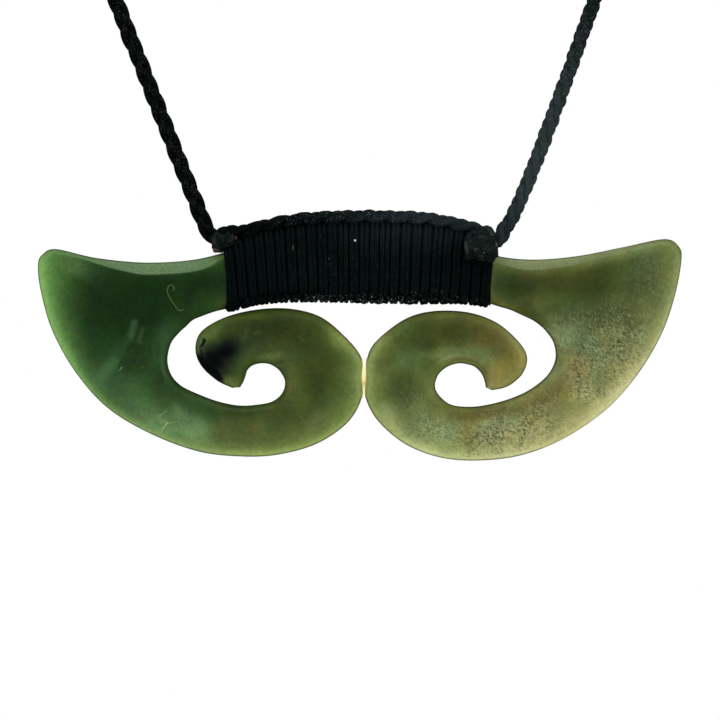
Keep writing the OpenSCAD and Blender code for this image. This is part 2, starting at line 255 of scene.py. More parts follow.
def skin_faces(rings, sides, first=0, outward=True, gaps=()):
    """Faces between rings of points, turned outward or inward. Gaps are (ring, side) places left open."""
    faces = []
    for i in range(rings - 1):
        for k in range(sides):
            n = (k + 1) % sides
            a, b, c, d = i * sides + k, (i + 1) * sides + k, (i + 1) * sides + n, i * sides + n
            corners = (a, d, c, b) if outward else (a, b, c, d)
            if (i, k) not in gaps:
                faces.append(tuple(first + corner for corner in corners))
    return faces


def end_faces(rings, sides):
    """One face over the first ring and one over the last."""
    return [tuple(range(sides - 1, -1, -1)), tuple(range((rings - 1) * sides, rings * sides))]


def web_skins(points, rows, sides, front_edge, back_edge):
    """New points and faces of the web: two grids from the left spiral's edge to the right one's."""
    first, last = WEB_FROM * STATIONS_PER_ROW, WEB_TO * STATIONS_PER_ROW
    extra, faces = [], []

    def grid_row(i, edge):
        left, right = i * sides + edge, (rows - 1 - i) * sides + edge
        inner = []
        for c in range(1, WEB_COLUMNS):
            inner.append(len(points) + len(extra))
            extra.append(points[left] + (points[right] - points[left]) * c / WEB_COLUMNS)
        return [left, *inner, right]

    front = [grid_row(i, front_edge) for i in range(first, last + 1)]
    back = [grid_row(i, back_edge) for i in range(first, last + 1)]
    for i in range(last - first):
        for c in range(WEB_COLUMNS):
            faces.append((front[i][c], front[i][c + 1], front[i + 1][c + 1], front[i + 1][c]))
            faces.append((back[i][c], back[i + 1][c], back[i + 1][c + 1], back[i][c + 1]))
    for c in range(WEB_COLUMNS):
        faces.append((front[0][c], back[0][c], back[0][c + 1], front[0][c + 1]))
        faces.append((front[-1][c], front[-1][c + 1], back[-1][c + 1], back[-1][c]))
    return extra, faces


def stone_mesh():
    """The whole stone as one closed mesh, with the masks that its material reads."""
    band = stone_band()
    rows = len(band)
    front, front_facets = half_sections(band, -1, FRONT_STEPS)
    back, back_facets = half_sections(band, 1, BACK_STEPS)
    columns = front + back[::-1]
    facets = front_facets + back_facets[::-1]
    sides = len(columns)
    front_edge, back_edge = len(front) - 1, len(front)
    points = np.stack(columns, axis=1).reshape(-1, 3)
    facet = np.stack(facets, axis=1).reshape(-1)

    # The band is open where the web leaves it, on the left spiral and on the right one.
    web_rows = range(WEB_FROM * STATIONS_PER_ROW, WEB_TO * STATIONS_PER_ROW)
    gaps = {(i, front_edge) for i in web_rows} | {(rows - 2 - i, front_edge) for i in web_rows}
    extra, web_faces = web_skins(points, rows, sides, front_edge, back_edge)
    faces = skin_faces(rows, sides, gaps=gaps) + end_faces(rows, sides) + web_faces
    web = np.append(np.zeros(len(points)), np.ones(len(extra)))
    points = np.vstack([points, extra])
    facet = np.append(facet, np.zeros(len(extra)))

    first, last = RIM_FROM * STATIONS_PER_ROW, RIM_TO * STATIONS_PER_ROW
    lower_rim = np.vstack([band[first:last, 2:4], band[-last:-first, 2:4]])
    inner = outline_distance(points, band[:, 0:2])
    outer = outline_distance(points, band[:, 2:4])
    rim = outline_distance(points, lower_rim)
    edge = np.minimum(inner, outer)
    points[:, 1] += clouds(points, UNEVEN_SIZE, 5) * np.clip(edge / EDGE_W, 0, 1) * UNEVEN
    seen = points[:, [0, 2]]
    masks = {"edge_mm": edge, "facet": facet, "web": web, "dashes": patch_mask(seen, DASHES)}
    return points, faces, masks, stone_colour(seen, rim, inner, outer)


def outline_distance(points, outline):
    """Distance in mm from each point to the nearest point of an outline, seen from the front."""
    tree = kdtree.KDTree(len(outline))
    for i, (x, z) in enumerate(outline):
        tree.insert((x, 0, z), i)
    tree.balance()
    return np.array([tree.find((p[0], 0, p[2]))[2] for p in points])


def metres(points_mm):
    """Points in mm from the bar's middle, as places in the scene."""
    return ((np.asarray(points_mm) + BAR) * MM).tolist()


def linear(screen):
    """Colour values as they look on screen, 0 to 255, made linear."""
    return np.where(screen > 10, ((screen / 255 + 0.055) / 1.055) ** 2.4, screen / 255 / 12.92)


def new_object(name, data):
    """An object in the scene, at the origin."""
    made = bpy.data.objects.new(name, data)
    bpy.context.scene.collection.objects.link(made)
    return made


def mesh_object(name, points_mm, faces, masks=None, colour=None):
    """An object at the origin whose mesh lies in place. Points are in mm from the bar's middle."""
    mesh = bpy.data.meshes.new(name)
    mesh.from_pydata(metres(points_mm), [], faces)
    for mask, values in (masks or {}).items():
        mesh.attributes.new(mask, "FLOAT", "POINT").data.foreach_set("value", np.asarray(values, np.float32))
    if colour is not None:
        rgba = np.column_stack([linear(colour), np.ones(len(colour))]).astype(np.float32)
        mesh.attributes.new("stone_colour", "FLOAT_COLOR", "POINT").data.foreach_set("color", rgba.ravel())
    mesh.shade_smooth()
    mesh.validate()
    return new_object(name, mesh)


# The stone's colours

# Shades as they look on screen: red, green, blue
SHADES = {
    "deep": (11, 50, 2),
    "pine": (23, 66, 11),
    "forest": (38, 78, 25),
    "fern": (62, 102, 54),
    "leaf": (92, 132, 78),
    "moss": (46, 62, 6),
    "bark": (58, 68, 8),
    "olive": (60, 76, 24),
    "khaki": (84, 92, 34),
    "pear": (92, 108, 32),
    "umber": (88, 82, 22),
    "ochre": (126, 118, 44),
    "mustard": (136, 130, 48),
    "sienna": (144, 126, 66),
    "brown": (98, 92, 30),
    "lichen": (108, 124, 70),
    "haze": (120, 144, 96),
    "teal": (70, 104, 70),
    "mint": (100, 142, 104),
    "tan": (150, 146, 90),
    "sand": (176, 170, 120),
    "straw": (180, 178, 124),
    "smoke": (8, 15, 12),
}
# The stone's own colour across the plate: mm from its middle, red, green, blue as on screen
BODY = [
    [-55, 66, 114, 40], [-51, 46, 88, 26], [-46, 32, 66, 18], [-38, 27, 58, 16], [-31, 44, 78, 32],
    [-24, 56, 78, 20], [-16, 56, 74, 22], [-9, 62, 78, 22], [-3, 68, 88, 28], [3, 76, 92, 32],
    [9, 76, 90, 32], [16, 104, 116, 48], [24, 114, 116, 52], [32, 110, 116, 58], [40, 104, 114, 54],
    [45, 92, 104, 48], [50, 94, 106, 50], [55, 100, 116, 50],
]
# Its rim's painted glow, paler where light comes through the thin edges, in the same columns, and how far it
# reaches in
RIM_GLOW = [
    [-55, 126, 174, 88, 3.2], [-50, 120, 168, 90, 2.3], [-44, 106, 146, 78, 1.4], [-36, 126, 158, 92, 1.6],
    [-28, 132, 156, 88, 1.6], [-18, 144, 164, 84, 2.1], [-8, 140, 160, 82, 1.9], [0, 140, 158, 86, 1.5],
    [6, 162, 174, 106, 1.9], [11, 194, 204, 142, 2.5], [16, 190, 198, 132, 2.2], [26, 202, 202, 142, 2.7],
    [35, 190, 188, 126, 1.7], [41, 200, 198, 142, 2.1], [46, 202, 198, 142, 2.3],
    [51, 172, 176, 118, 1.6], [55, 126, 142, 78, 1.2],
]
# Columns: shade, x, z, half length, half height, turn, strength
PATCHES = [
    # left wing
    ["deep", -37.0, -7.0, 12, 9, -6, 1.0],
    ["deep", -28.0, -3.6, 9, 4.5, 4, 0.9],
    ["deep", -43.0, -9.5, 6, 8, 20, 0.7],
    ["deep", -41.6, -18.0, 2.4, 2.0, 30, 0.4],
    ["pine", -30.0, -0.5, 12, 2.4, 0, 0.4],
    ["leaf", -48.0, -1.0, 4.6, 2.6, -14, 0.45],
    ["pine", -27.0, -8.4, 3.4, 2.6, 30, 0.8],
    ["pine", -43.0, -15.5, 4, 6, 30, 0.7],
    ["pine", -37.0, -16.0, 7, 5, 20, 0.5],
    ["teal", -33.0, -12.0, 2.4, 4, 10, 0.35],
    ["forest", -34.0, -18.0, 6, 5, 20, 0.5],
    ["pine", -31.4, -20.4, 3.0, 4.0, 50, 0.85],
    ["fern", -43.0, -19.5, 5, 3.6, -50, 0.55],
    ["fern", -38.9, -22.4, 5, 3.6, -35, 0.75],
    ["forest", -37.0, -20.6, 4.4, 3.0, -30, 0.45],
    ["leaf", -34.4, -27.4, 6, 3.2, -30, 0.8],
    ["leaf", -28.6, -28.4, 5, 3.2, -20, 0.85],
    ["teal", -29.0, -27.0, 3, 1.6, -20, 0.5],
    ["haze", -34.2, -26.4, 1.8, 1.0, -30, 0.4],
    ["leaf", -31.4, -25.4, 2.2, 1.4, -30, 0.75],
    ["forest", -33.2, -24.4, 2.2, 1.0, -30, 0.5],
    ["forest", -31.2, -29.4, 1.6, 0.8, -20, 0.4],
    ["haze", -30.2, -30.4, 2.0, 0.9, -20, 0.25],
    ["forest", -26.8, -25.0, 5, 1.8, -24, 0.7],
    # left lobe
    ["forest", -20.8, -14.0, 3.6, 2.8, 20, 0.5],
    ["smoke", -22.6, -15.4, 5.0, 2.9, 24, 0.9],
    ["smoke", -25.0, -17.4, 4.6, 3.6, -40, 1.0],
    ["moss", -4.8, -15.4, 2.0, 2.8, 36, 0.6],
    ["moss", -16.0, -11.0, 13, 4.2, -4, 1.0],
    ["moss", -7.6, -14.4, 4.2, 6.0, 35, 0.8],
    ["bark", -6.6, -19.0, 3.4, 4.4, 0, 0.6],
    ["pear", -26.0, -12.6, 3.4, 1.6, 35, 0.6],
    ["pear", -20.0, -9.6, 7.0, 1.0, 6, 0.4],
    ["pear", -3.6, -13.0, 1.2, 4.0, 34, 0.5],
    ["olive", -15.5, -15.6, 4.6, 1.8, 15, 0.8],
    ["lichen", -14.5, -16.4, 3.4, 1.0, 10, 0.45],
    ["pear", -21.4, -20.4, 2.6, 1.6, 0, 0.8],
    ["moss", -7.0, -20.0, 3.0, 5.0, 0, 0.5],
    ["khaki", -11.8, -20.6, 2.2, 4.4, 0, 0.55],
    ["moss", -21.0, -25.6, 8, 1.8, -6, 0.5],
    ["khaki", -20.0, -29.0, 9, 3.0, 4, 0.6],
    ["olive", -13.0, -27.0, 6, 2.2, 4, 0.4],
    ["khaki", -8.0, -28.0, 6, 3.0, 30, 0.6],
    ["lichen", -6.4, -26.6, 3.0, 2.4, 30, 0.4],
    ["khaki", -23.4, -27.8, 2.4, 1.6, 0, 0.4],
    # right lobe
    ["moss", 9.6, -11.6, 5.4, 4.2, 10, 0.8],
    ["bark", 14.4, -11.2, 8, 4.2, -8, 0.9],
    ["moss", 6.8, -14.4, 4.0, 4.6, 40, 0.6],
    ["moss", 8.0, -22.0, 3.4, 4.0, 0, 0.65],
    ["teal", 8.6, -16.6, 3.0, 3.2, 0, 0.5],
    ["umber", 21.4, -11.6, 5.6, 3.8, -30, 1.0],
    ["khaki", 21.6, -15.0, 3.6, 2.2, 0, 0.6],
    ["lichen", 19.4, -15.9, 6, 2.4, -8, 0.5],
    ["khaki", 21.6, -18.8, 1.8, 1.8, 0, 0.5],
    ["ochre", 23.4, -18.8, 2.6, 2.6, 10, 0.6],
    ["olive", 11.4, -17.0, 2.6, 2.8, -20, 0.6],
    ["brown", 25.0, -16.0, 3.0, 4.5, 25, 0.8],
    ["ochre", 24.8, -20.4, 4.0, 1.8, 25, 0.7],
    ["ochre", 27.6, -16.4, 1.6, 4.0, 10, 0.8],
    ["mustard", 24.4, -18.8, 3.0, 2.8, 15, 0.7],
    ["mustard", 28.4, -16.4, 1.2, 3.6, 10, 0.7],
    ["fern", 7.6, -11.4, 2.2, 1.8, 0, 0.25],
    ["moss", 11.8, -14.0, 2.6, 1.6, 0, 0.75],
    ["bark", 19.8, -11.4, 2.6, 2.0, 0, 0.45],
    ["lichen", 24.2, -8.8, 2.6, 1.0, -28, 0.6],
    ["haze", 5.2, -26.2, 3.4, 3.0, 0, 0.5],
    ["haze", 15.8, -27.4, 3.0, 2.0, 0, 0.4],
    ["lichen", 15.5, -15.2, 5.5, 1.4, 0, 0.6],
    ["khaki", 12.0, -25.6, 4.5, 2.2, -30, 0.5],
    ["haze", 14.6, -28.0, 4.5, 3.0, 20, 0.5],
    ["haze", 8.0, -29.0, 3.0, 3.0, -40, 0.5],
    ["umber", 20.5, -26.0, 8, 1.7, 4, 0.85],
    ["umber", 28.4, -24.6, 4.5, 1.9, 24, 0.8],
    ["ochre", 20.4, -30.4, 2.0, 2.6, 0, 0.4],
    ["tan", 24.6, -29.6, 4.0, 2.2, 6, 0.45],
    ["khaki", 15.6, -25.2, 3.0, 1.6, 0, 0.5],
    ["lichen", 26.0, -29.5, 10, 3.0, 12, 0.5],
    ["tan", 23.4, -29.0, 8, 3.2, 8, 0.55],
    ["tan", 6.0, -27.4, 2.0, 4.0, 30, 0.8],
    ["tan", 30.0, -31.0, 10, 2.6, 18, 0.7],
    # right wing
    ["bark", 36.0, -4.2, 14, 4.9, 3, 0.9],
    ["bark", 42.0, -1.2, 5, 1.6, 6, 0.5],
    ["moss", 40.0, -3.8, 5, 4.0, 10, 0.5],
    ["moss", 26.0, -4.6, 6, 4.4, 0, 0.9],
    ["forest", 25.0, -3.0, 3.4, 6.0, 0, 0.4],
    ["olive", 40.0, -8.6, 9, 3.6, 12, 0.85],
    ["olive", 47.6, -3.6, 8, 6.0, 35, 0.85],
    ["fern", 47.0, -1.6, 5, 2.0, 12, 0.35],
    ["olive", 45.0, -0.2, 4.4, 1.8, 8, 0.8],
    ["khaki", 52.4, -0.6, 3.0, 2.2, 0, 0.6],
    ["olive", 32.4, -8.6, 2.6, 1.6, 0, 0.6],
    ["moss", 28.4, -3.4, 4.0, 2.6, 0, 0.7],
    ["moss", 28.4, -8.4, 3.0, 1.8, 0, 0.5],
    ["moss", 40.4, -8.2, 3.0, 2.0, 0, 0.4],
    ["moss", 44.4, -2.2, 3.6, 3.2, 0, 0.4],
    ["moss", 44.4, -8.4, 2.6, 2.2, 0, 0.55],
    ["forest", 34.4, -7.6, 4.4, 2.2, 0, 0.4],
    ["leaf", 48.8, 2.2, 3.6, 1.4, 12, 0.4],
    ["olive", 28.6, -8.4, 3, 1.6, -20, 0.5],
    ["haze", 34.0, -11.6, 3.4, 2.6, -20, 0.45],
    ["mint", 36.4, -11.8, 2.8, 2.6, 20, 0.5],
    ["haze", 48.6, -11.4, 2.6, 2.6, 0, 0.45],
    ["haze", 32.4, -19.4, 2.4, 2.2, 30, 0.75],
    ["teal", 38.6, -13.6, 3.4, 3.2, 0, 0.7],
    ["umber", 33.4, -21.6, 4.5, 2.2, 45, 0.8],
    ["sienna", 37.2, -17.8, 2.6, 4.6, 0, 0.85],
    ["sienna", 42.8, -17.8, 2.0, 3.4, -30, 0.45],
    ["haze", 42.4, -21.6, 1.8, 1.6, 0, 0.4],
    ["ochre", 35.6, -23.0, 3.0, 1.6, 40, 0.5],
    ["teal", 39.6, -19.4, 1.8, 3.0, 10, 0.35],
    ["tan", 46.0, -18.0, 5, 2.6, 55, 0.7],
    ["tan", 42.0, -23.0, 6, 2.8, 45, 0.8],
    ["tan", 36.0, -28.0, 6, 2.6, 30, 0.7],
    ["tan", 34.0, -20.8, 5.0, 3.6, 40, 0.4],
    ["haze", 40.2, -16.6, 2.6, 2.2, 0, 0.35],
    ["tan", 30.0, -27.4, 4.5, 1.8, 15, 0.4],
    ["ochre", 34.0, -24.0, 12, 5.0, 34, 0.3],
    ["brown", 32.6, -22.8, 3.0, 1.8, 30, 0.7],
    ["sand", 37.6, -22.8, 2.8, 1.6, 40, 0.6],
    ["tan", 32.4, -27.8, 3.0, 1.8, 20, 0.5],
    ["sand", 43.0, -22.6, 2.2, 1.4, 40, 0.5],
    ["moss", 46.6, -10.2, 3.0, 2.2, 0, 0.45],
    ["sand", 29.6, -29.0, 3.4, 1.5, 14, 0.45],
    ["haze", 24.0, -28.0, 4.4, 1.6, 10, 0.45],
    ["haze", 14.8, -29.0, 2.6, 2.6, 0, 0.5],
    ["brown", 18.8, -29.4, 1.3, 3.6, 0, 0.55],
    ["khaki", 18.6, -31.6, 1.2, 2.0, 0, 0.5],
    ["sienna", 22.6, -19.4, 1.4, 2.4, 20, 0.7],
    ["haze", 10.8, -26.4, 4.0, 2.0, -20, 0.4],
    ["khaki", 24.6, -11.0, 3.0, 1.6, -35, 0.6],
    ["moss", 30.8, -10.2, 2.4, 1.8, -40, 0.6],
]
# Where dark blue-green dashes lie in the paler stone, in the same columns without the shade
DASHES = [
    [42.5, -14.6, 11, 8, 50, 1.0],
    [38.6, -20.4, 5, 6, 60, 1.0],
    [30.0, -26.0, 9, 4, 34, 0.7],
    [25.0, -29.0, 14, 5, 12, 0.95],
    [12.4, -28.4, 7, 4, -10, 0.7],
    [9.0, -23.5, 4, 4, 0, 0.35],
    [38.4, -10.4, 5.5, 3.6, 0, 0.6],
    [50.0, -4.0, 6, 8, 20, 0.3],
    [46.0, -9.0, 7, 4, 20, 0.35],
    [34.0, -12.6, 4, 5, 0, 0.7],
    [-30.0, -27.0, 8, 3.6, -25, 0.16],
]
# Each patch fades out a little past its own size.
SOFT_REACH = 1.15
# How far the patches' outlines drift, and the size of the drift's clouds
DRIFT, DRIFT_SIZE = 1.2, 7.0
# Lighter and darker clouds differ by this share, and warmer and cooler ones by this much, either way.
LIGHTNESS = 0.12
WARMTH = (6, 0, -6)
# Some of the clouds are five times as tall as they are wide.
TALL = [1, 0.2]
# How strong the rim's painted glow is, and the strength and reach of the painted glow on the edges inside and
# all round
RIM_GLOW_STRENGTH = 0.9
INNER_EDGE_GLOW, INNER_REACH = 0.08, 0.8
OUTER_EDGE_GLOW, OUTER_REACH = 0.5, 0.9


def ellipse(points, x, z, half_x, half_z, turn):
    """1 inside a soft ellipse and 0 well outside it. Turn is in degrees, anticlockwise from the front."""
    angle = math.radians(turn)
    dx, dz = points[:, 0] - x, points[:, 1] - z
    u = (dx * math.cos(angle) + dz * math.sin(angle)) / half_x
    v = (dz * math.cos(angle) - dx * math.sin(angle)) / half_z
    return smoothstep(SOFT_REACH - np.hypot(u, v))


def patch_mask(points, patches):
    """The strongest of several soft ellipses at each point."""
    return np.max([ellipse(points, *patch[:-1]) * patch[-1] for patch in patches], axis=0)


def drifted(points):
    """The points moved about a little, so that no patch keeps a plain outline."""
    return points + DRIFT * np.column_stack([clouds(points, DRIFT_SIZE, seed) for seed in (11, 31)])


def columns_at(x, table, columns):
    """Columns of a table whose first column runs across the plate, at each x."""
    table = np.array(table, float)
    return np.column_stack([np.interp(x, table[:, 0], table[:, c]) for c in columns])


def stone_colour(points, rim, inner, outer):
    """Screen colour at each point: body, patches and clouds, then painted glow on the rim and edges, where
    light comes through the thin stone.
    """
    at = drifted(points)
    colour = columns_at(at[:, 0], BODY, (1, 2, 3))
    for shade, *shape, strength in PATCHES:
        mask = ellipse(at, *shape) * strength
        colour += (np.array(SHADES[shade]) - colour) * mask[:, None]
    colour *= 1 + LIGHTNESS * clouds(points, 3.4, 51)[:, None]
    colour *= 1 + LIGHTNESS * clouds(points * TALL, 2.2, 91)[:, None]
    colour += clouds(points, 2.6, 71)[:, None] * np.array(WARMTH)
    # Painted glow: the rim and the edges are made paler where light comes through the thin stone.
    reach = columns_at(points[:, 0], RIM_GLOW, (4,))[:, 0]
    pale = RIM_GLOW_STRENGTH * np.exp(-rim / reach)
    pale += INNER_EDGE_GLOW * np.exp(-inner / INNER_REACH)
    pale += OUTER_EDGE_GLOW * np.exp(-outer / OUTER_REACH)
    colour += (columns_at(points[:, 0], RIM_GLOW, (1, 2, 3)) - colour) * np.clip(pale, 0, 1)[:, None]
    return colour


# Node helpers, for shaders and Geometry Nodes alike

def feed(tree, node, inputs):
    """Links a node's inputs to other nodes' outputs, or sets them."""
    for key, value in inputs.items():
        if isinstance(value, bpy.types.NodeSocket):
            tree.links.new(value, node.inputs[key])
        else:
            node.inputs[key].default_value = value


def add(tree, kind, inputs=None, **settings):
    """A node with its settings, and with its inputs linked or set."""
    made = tree.nodes.new(kind)
    for key, value in settings.items():
        setattr(made, key, value)
    feed(tree, made, inputs or {})
    return made


def calc(tree, operation, *values, clamp=False):
    """The output of a Math node."""
    inputs = dict(enumerate(values))
    return add(tree, "ShaderNodeMath", inputs, operation=operation, use_clamp=clamp).outputs[0]


def product(tree, *values):
    """Masks and numbers multiplied with one another."""
    return functools.reduce(lambda a, b: calc(tree, "MULTIPLY", a, b), values)


def strongest(tree, masks):
    """The highest of several masks."""
    return functools.reduce(lambda a, b: calc(tree, "MAXIMUM", a, b), masks)


def vector_calc(tree, operation, *values, output=0):
    """An output of a Vector Math node. Scale takes its factor in the fourth input."""
    inputs = dict(enumerate(values))
    if operation == "SCALE":
        inputs = {0: values[0], 3: values[1]}
    return add(tree, "ShaderNodeVectorMath", inputs, operation=operation).outputs[output]


def fade(tree, value, at_one, at_zero):
    """1 where the value reaches at_one, 0 where it reaches at_zero, and smooth between them."""
    return add(tree, "ShaderNodeMapRange", {
        "Value": value, "From Min": at_zero, "From Max": at_one, "To Min": 0.0, "To Max": 1.0,
    }, interpolation_type="SMOOTHSTEP").outputs["Result"]


def ranged(tree, value, low, high, at_low, at_high):
    """A value from low to high, stretched to run from at_low to at_high."""
    return add(tree, "ShaderNodeMapRange", {
        "Value": value, "From Min": low, "From Max": high, "To Min": at_low, "To Max": at_high,
    }).outputs["Result"]


# The Mix node's two colours and its colour output, which share their names with other sockets of it
MIX_A, MIX_B, MIX_OUT = 6, 7, 2


def mix(tree, factor, a, b, blend="MIX"):
    """One colour laid over another."""
    inputs = {"Factor": factor, MIX_A: a, MIX_B: b}
    return add(tree, "ShaderNodeMix", inputs, data_type="RGBA", blend_type=blend).outputs[MIX_OUT]


def lay(tree, colour, mask, shade, strength):
    """A shade laid over a colour where a mask says."""
    return mix(tree, product(tree, mask, strength), colour, shade)


def ramp(tree, value, stops):
    """A colour ramp through (position, colour) stops."""
    made = add(tree, "ShaderNodeValToRGB", {"Fac": value})
    elements = made.color_ramp.elements
    while len(elements) < len(stops):
        elements.new(0.5)
    for element, (position, colour) in zip(elements, stops):
        element.position = position
        element.color = colour
    return made.outputs["Color"]


def cloud(tree, vector, scale, detail=3.0, roughness=0.55, output="Fac"):
    """A noise texture's output, with its scale in features for each mm."""
    return add(tree, "ShaderNodeTexNoise", {
        "Vector": vector, "Scale": scale, "Detail": detail, "Roughness": roughness,
    }).outputs[output]


def bumped(tree, height, strength, depth_mm):
    """The surface's normal over a height pattern."""
    return add(tree, "ShaderNodeBump", {
        "Height": height, "Strength": strength, "Distance": depth_mm * MM,
    }).outputs[0]


def separate(tree, vector):
    """The outputs X, Y and Z of a vector."""
    return add(tree, "ShaderNodeSeparateXYZ", {0: vector}).outputs


def new_group(name, inputs, outputs):
    """An empty shader node group with named sockets, and its inputs by name."""
    tree = bpy.data.node_groups.new(name, "ShaderNodeTree")
    for socket, kind, value in inputs:
        made = tree.interface.new_socket(socket, in_out="INPUT", socket_type=kind)
        if value is not None:
            made.default_value = value
    for socket, kind in outputs:
        tree.interface.new_socket(socket, in_out="OUTPUT", socket_type=kind)
    return tree, add(tree, "NodeGroupInput").outputs, add(tree, "NodeGroupOutput").inputs


def srgb(red, green, blue):
    """A colour as it looks on screen, 0 to 255, in linear values."""
    return (*linear(np.array([red, green, blue], float)).tolist(), 1.0)


FLOAT, VECTOR = "NodeSocketFloat", "NodeSocketVector"


def patch_group():
    """A soft ellipse in the plane of the plate."""
    tree, given, out = new_group("Patch", [
        ("Position", VECTOR, None),
        ("Centre", VECTOR, (0, 0, 0)),
        ("Half Size", VECTOR, (1, 1, 1)),
        ("Turn", FLOAT, 0.0),
        ("Softness", FLOAT, 0.5),
    ], [("Mask", FLOAT)])
    local = vector_calc(tree, "SUBTRACT", given["Position"], given["Centre"])
    turned = add(tree, "ShaderNodeVectorRotate", {"Vector": local, "Angle": given["Turn"]},
                 rotation_type="Y_AXIS").outputs[0]
    flat = vector_calc(tree, "MULTIPLY", turned, (1, 0, 1))
    length = vector_calc(tree, "LENGTH", vector_calc(tree, "DIVIDE", flat, given["Half Size"]), output=1)
    inner = calc(tree, "SUBTRACT", 1.0, given["Softness"])
    tree.links.new(fade(tree, length, inner, 1.0), out["Mask"])
    return tree


def place_group():
    """Position in mm from the bar's middle, plain and warped."""
    tree, given, out = new_group("Place", [
        ("Warp", FLOAT, 1.0),
        ("Warp Scale", FLOAT, 0.2),
    ], [("Position", VECTOR), ("Warped", VECTOR)])
    seen = add(tree, "ShaderNodeTexCoord").outputs["Object"]
    position = vector_calc(tree, "SUBTRACT", vector_calc(tree, "SCALE", seen, 1 / MM), tuple(BAR))
    noise_colour = cloud(tree, position, given["Warp Scale"], output="Color")
    drift = vector_calc(tree, "SUBTRACT", noise_colour, (0.5, 0.5, 0.5))
    warped = vector_calc(tree, "ADD", position, vector_calc(tree, "SCALE", drift, given["Warp"]))
    tree.links.new(position, out["Position"])
    tree.links.new(warped, out["Warped"])
    return tree


PATCH, PLACE = patch_group(), place_group()


def place(tree, warp, scale):
    """The plain and the warped position in mm."""
    made = add(tree, "ShaderNodeGroup", {"Warp": warp, "Warp Scale": scale}, node_tree=PLACE)
    return made.outputs["Position"], made.outputs["Warped"]


def patch(tree, position, x, z, half_x, half_z, turn=0.0, soft=0.8):
    """The mask of one soft ellipse. Turn is in degrees, anticlockwise as seen from the front."""
    return add(tree, "ShaderNodeGroup", {
        "Position": position, "Centre": (x, 0, z), "Half Size": (half_x, 1, half_z),
        "Turn": math.radians(turn), "Softness": soft,
    }, node_tree=PATCH).outputs["Mask"]


def in_front(tree, position):
    """1 on the front, where marks of wear are, and 0 on the back."""
    return fade(tree, separate(tree, position)["Y"], -0.5, 0.5)


def attribute(tree, name, output="Fac"):
    """A mask or colour that the mesh carries."""
    return add(tree, "ShaderNodeAttribute", attribute_name=name).outputs[output]


def new_material(name):
    """A material, its node tree and its shader."""
    made = bpy.data.materials.new(name)
    made.use_nodes = True
    return made, made.node_tree, made.node_tree.nodes["Principled BSDF"]


# The stone's finish

# Black inclusion at the left spiral's end: x, z, half length, half height, turn, softness
INK = [
    [-26.0, -18.4, 4.7, 1.7, -45, 0.4],
    [-25.0, -16.8, 2.6, 1.9, -30, 0.75],
    [-26.9, -14.2, 0.8, 0.38, 50, 0.35],
    [-26.5, -13.5, 0.34, 0.6, -20, 0.4],
    [-26.9, -15.7, 0.34, 1.3, 16, 0.45],
    [-23.0, -15.5, 3.4, 1.5, 22, 1.0],
]
# Soft natural streaks and thin cracks: from x, z to x, z, half width, strength, colour
LINES = [
    [-38.5, -10.4, -39.0, -12.6, 0.9, 0.36, (70, 114, 70)],
    [-37.2, -11.6, -37.6, -13.6, 0.7, 0.26, (66, 108, 62)],
    [-40.0, -13.8, -43.2, -18.0, 1.6, 0.26, (52, 96, 52)],
    [-41.8, -17.2, -44.6, -20.4, 1.5, 0.36, (74, 118, 66)],
    [-37.3, -11.4, -38.1, -13.0, 0.16, 0.75, (14, 40, 16)],
    [-38.9, -14.4, -40.3, -16.3, 0.12, 0.5, (16, 42, 20)],
    [-40.5, -16.6, -41.2, -18.1, 0.17, 0.8, (14, 40, 18)],
    [-41.2, -18.1, -42.9, -20.6, 0.1, 0.5, (30, 62, 32)],
    [-39.8, -14.2, -39.5, -15.0, 0.2, 0.5, (16, 42, 20)],
    [-41.0, -18.5, -40.6, -18.0, 0.12, 0.6, (120, 160, 120)],
    [-33.7, -28.3, -32.7, -27.5, 0.13, 0.7, (168, 188, 112)],
    [-32.7, -27.5, -31.3, -27.3, 0.1, 0.5, (150, 176, 104)],
    [-33.8, -28.4, -33.9, -29.2, 0.1, 0.4, (150, 176, 104)],
    [-34.3, -25.0, -33.4, -26.6, 0.16, 0.5, (52, 84, 44)],
    [-33.0, -25.4, -34.0, -26.2, 0.14, 0.4, (140, 172, 120)],
    [-34.7, -26.9, -34.4, -27.8, 0.14, 0.4, (54, 88, 48)],
    [-20.0, -13.4, -19.2, -12.0, 0.7, 0.16, (84, 116, 70)],
    [-18.0, -12.2, -17.0, -12.0, 0.4, 0.16, (90, 120, 78)],
    [-10.6, -12.8, -9.6, -13.4, 0.3, 0.2, (84, 120, 72)],
    [-10.5, -13.4, -10.8, -13.9, 0.12, 0.6, (24, 40, 14)],
    [-13.4, -12.0, -13.6, -12.3, 0.12, 0.4, (24, 40, 14)],
    [-15.4, -18.0, -11.4, -17.2, 0.16, 0.4, (96, 120, 70)],
]
# A fine light scratch on the left wing: the ends of its short runs, and its half width
SCRATCH = [
    [-31.8, -5.0], [-31.7, -4.3], [-32.1, -3.9], [-32.6, -4.1], [-32.9, -4.9],
    [-32.6, -5.8], [-32.0, -6.8], [-31.4, -7.7], [-30.8, -8.3], [-30.1, -8.2],
]
SCRATCH_HALF = 0.11
# Pale specks: x, z, half size
SPECKS = [
    [-25.8, -31.0, 0.16], [-26.1, -31.5, 0.12], [-25.5, -31.9, 0.12], [-26.0, -32.3, 0.14],
    [-10.1, -26.4, 0.14], [-13.0, -24.0, 0.12], [-41.9, -14.0, 0.12], [-36.9, -18.0, 0.16],
    [-47.9, -12.8, 0.15], [-10.4, -22.2, 0.1], [-44.0, -24.5, 0.12], [5.4, -28.0, 0.14], [3.2, -29.5, 0.1],
]
# The ground facets' painted highlight, for the top light and its sheen on them, on the left wing and on the
# right one
FACET_HIGHLIGHT_LEFT, FACET_HIGHLIGHT_RIGHT = (126, 158, 112), (128, 144, 106)
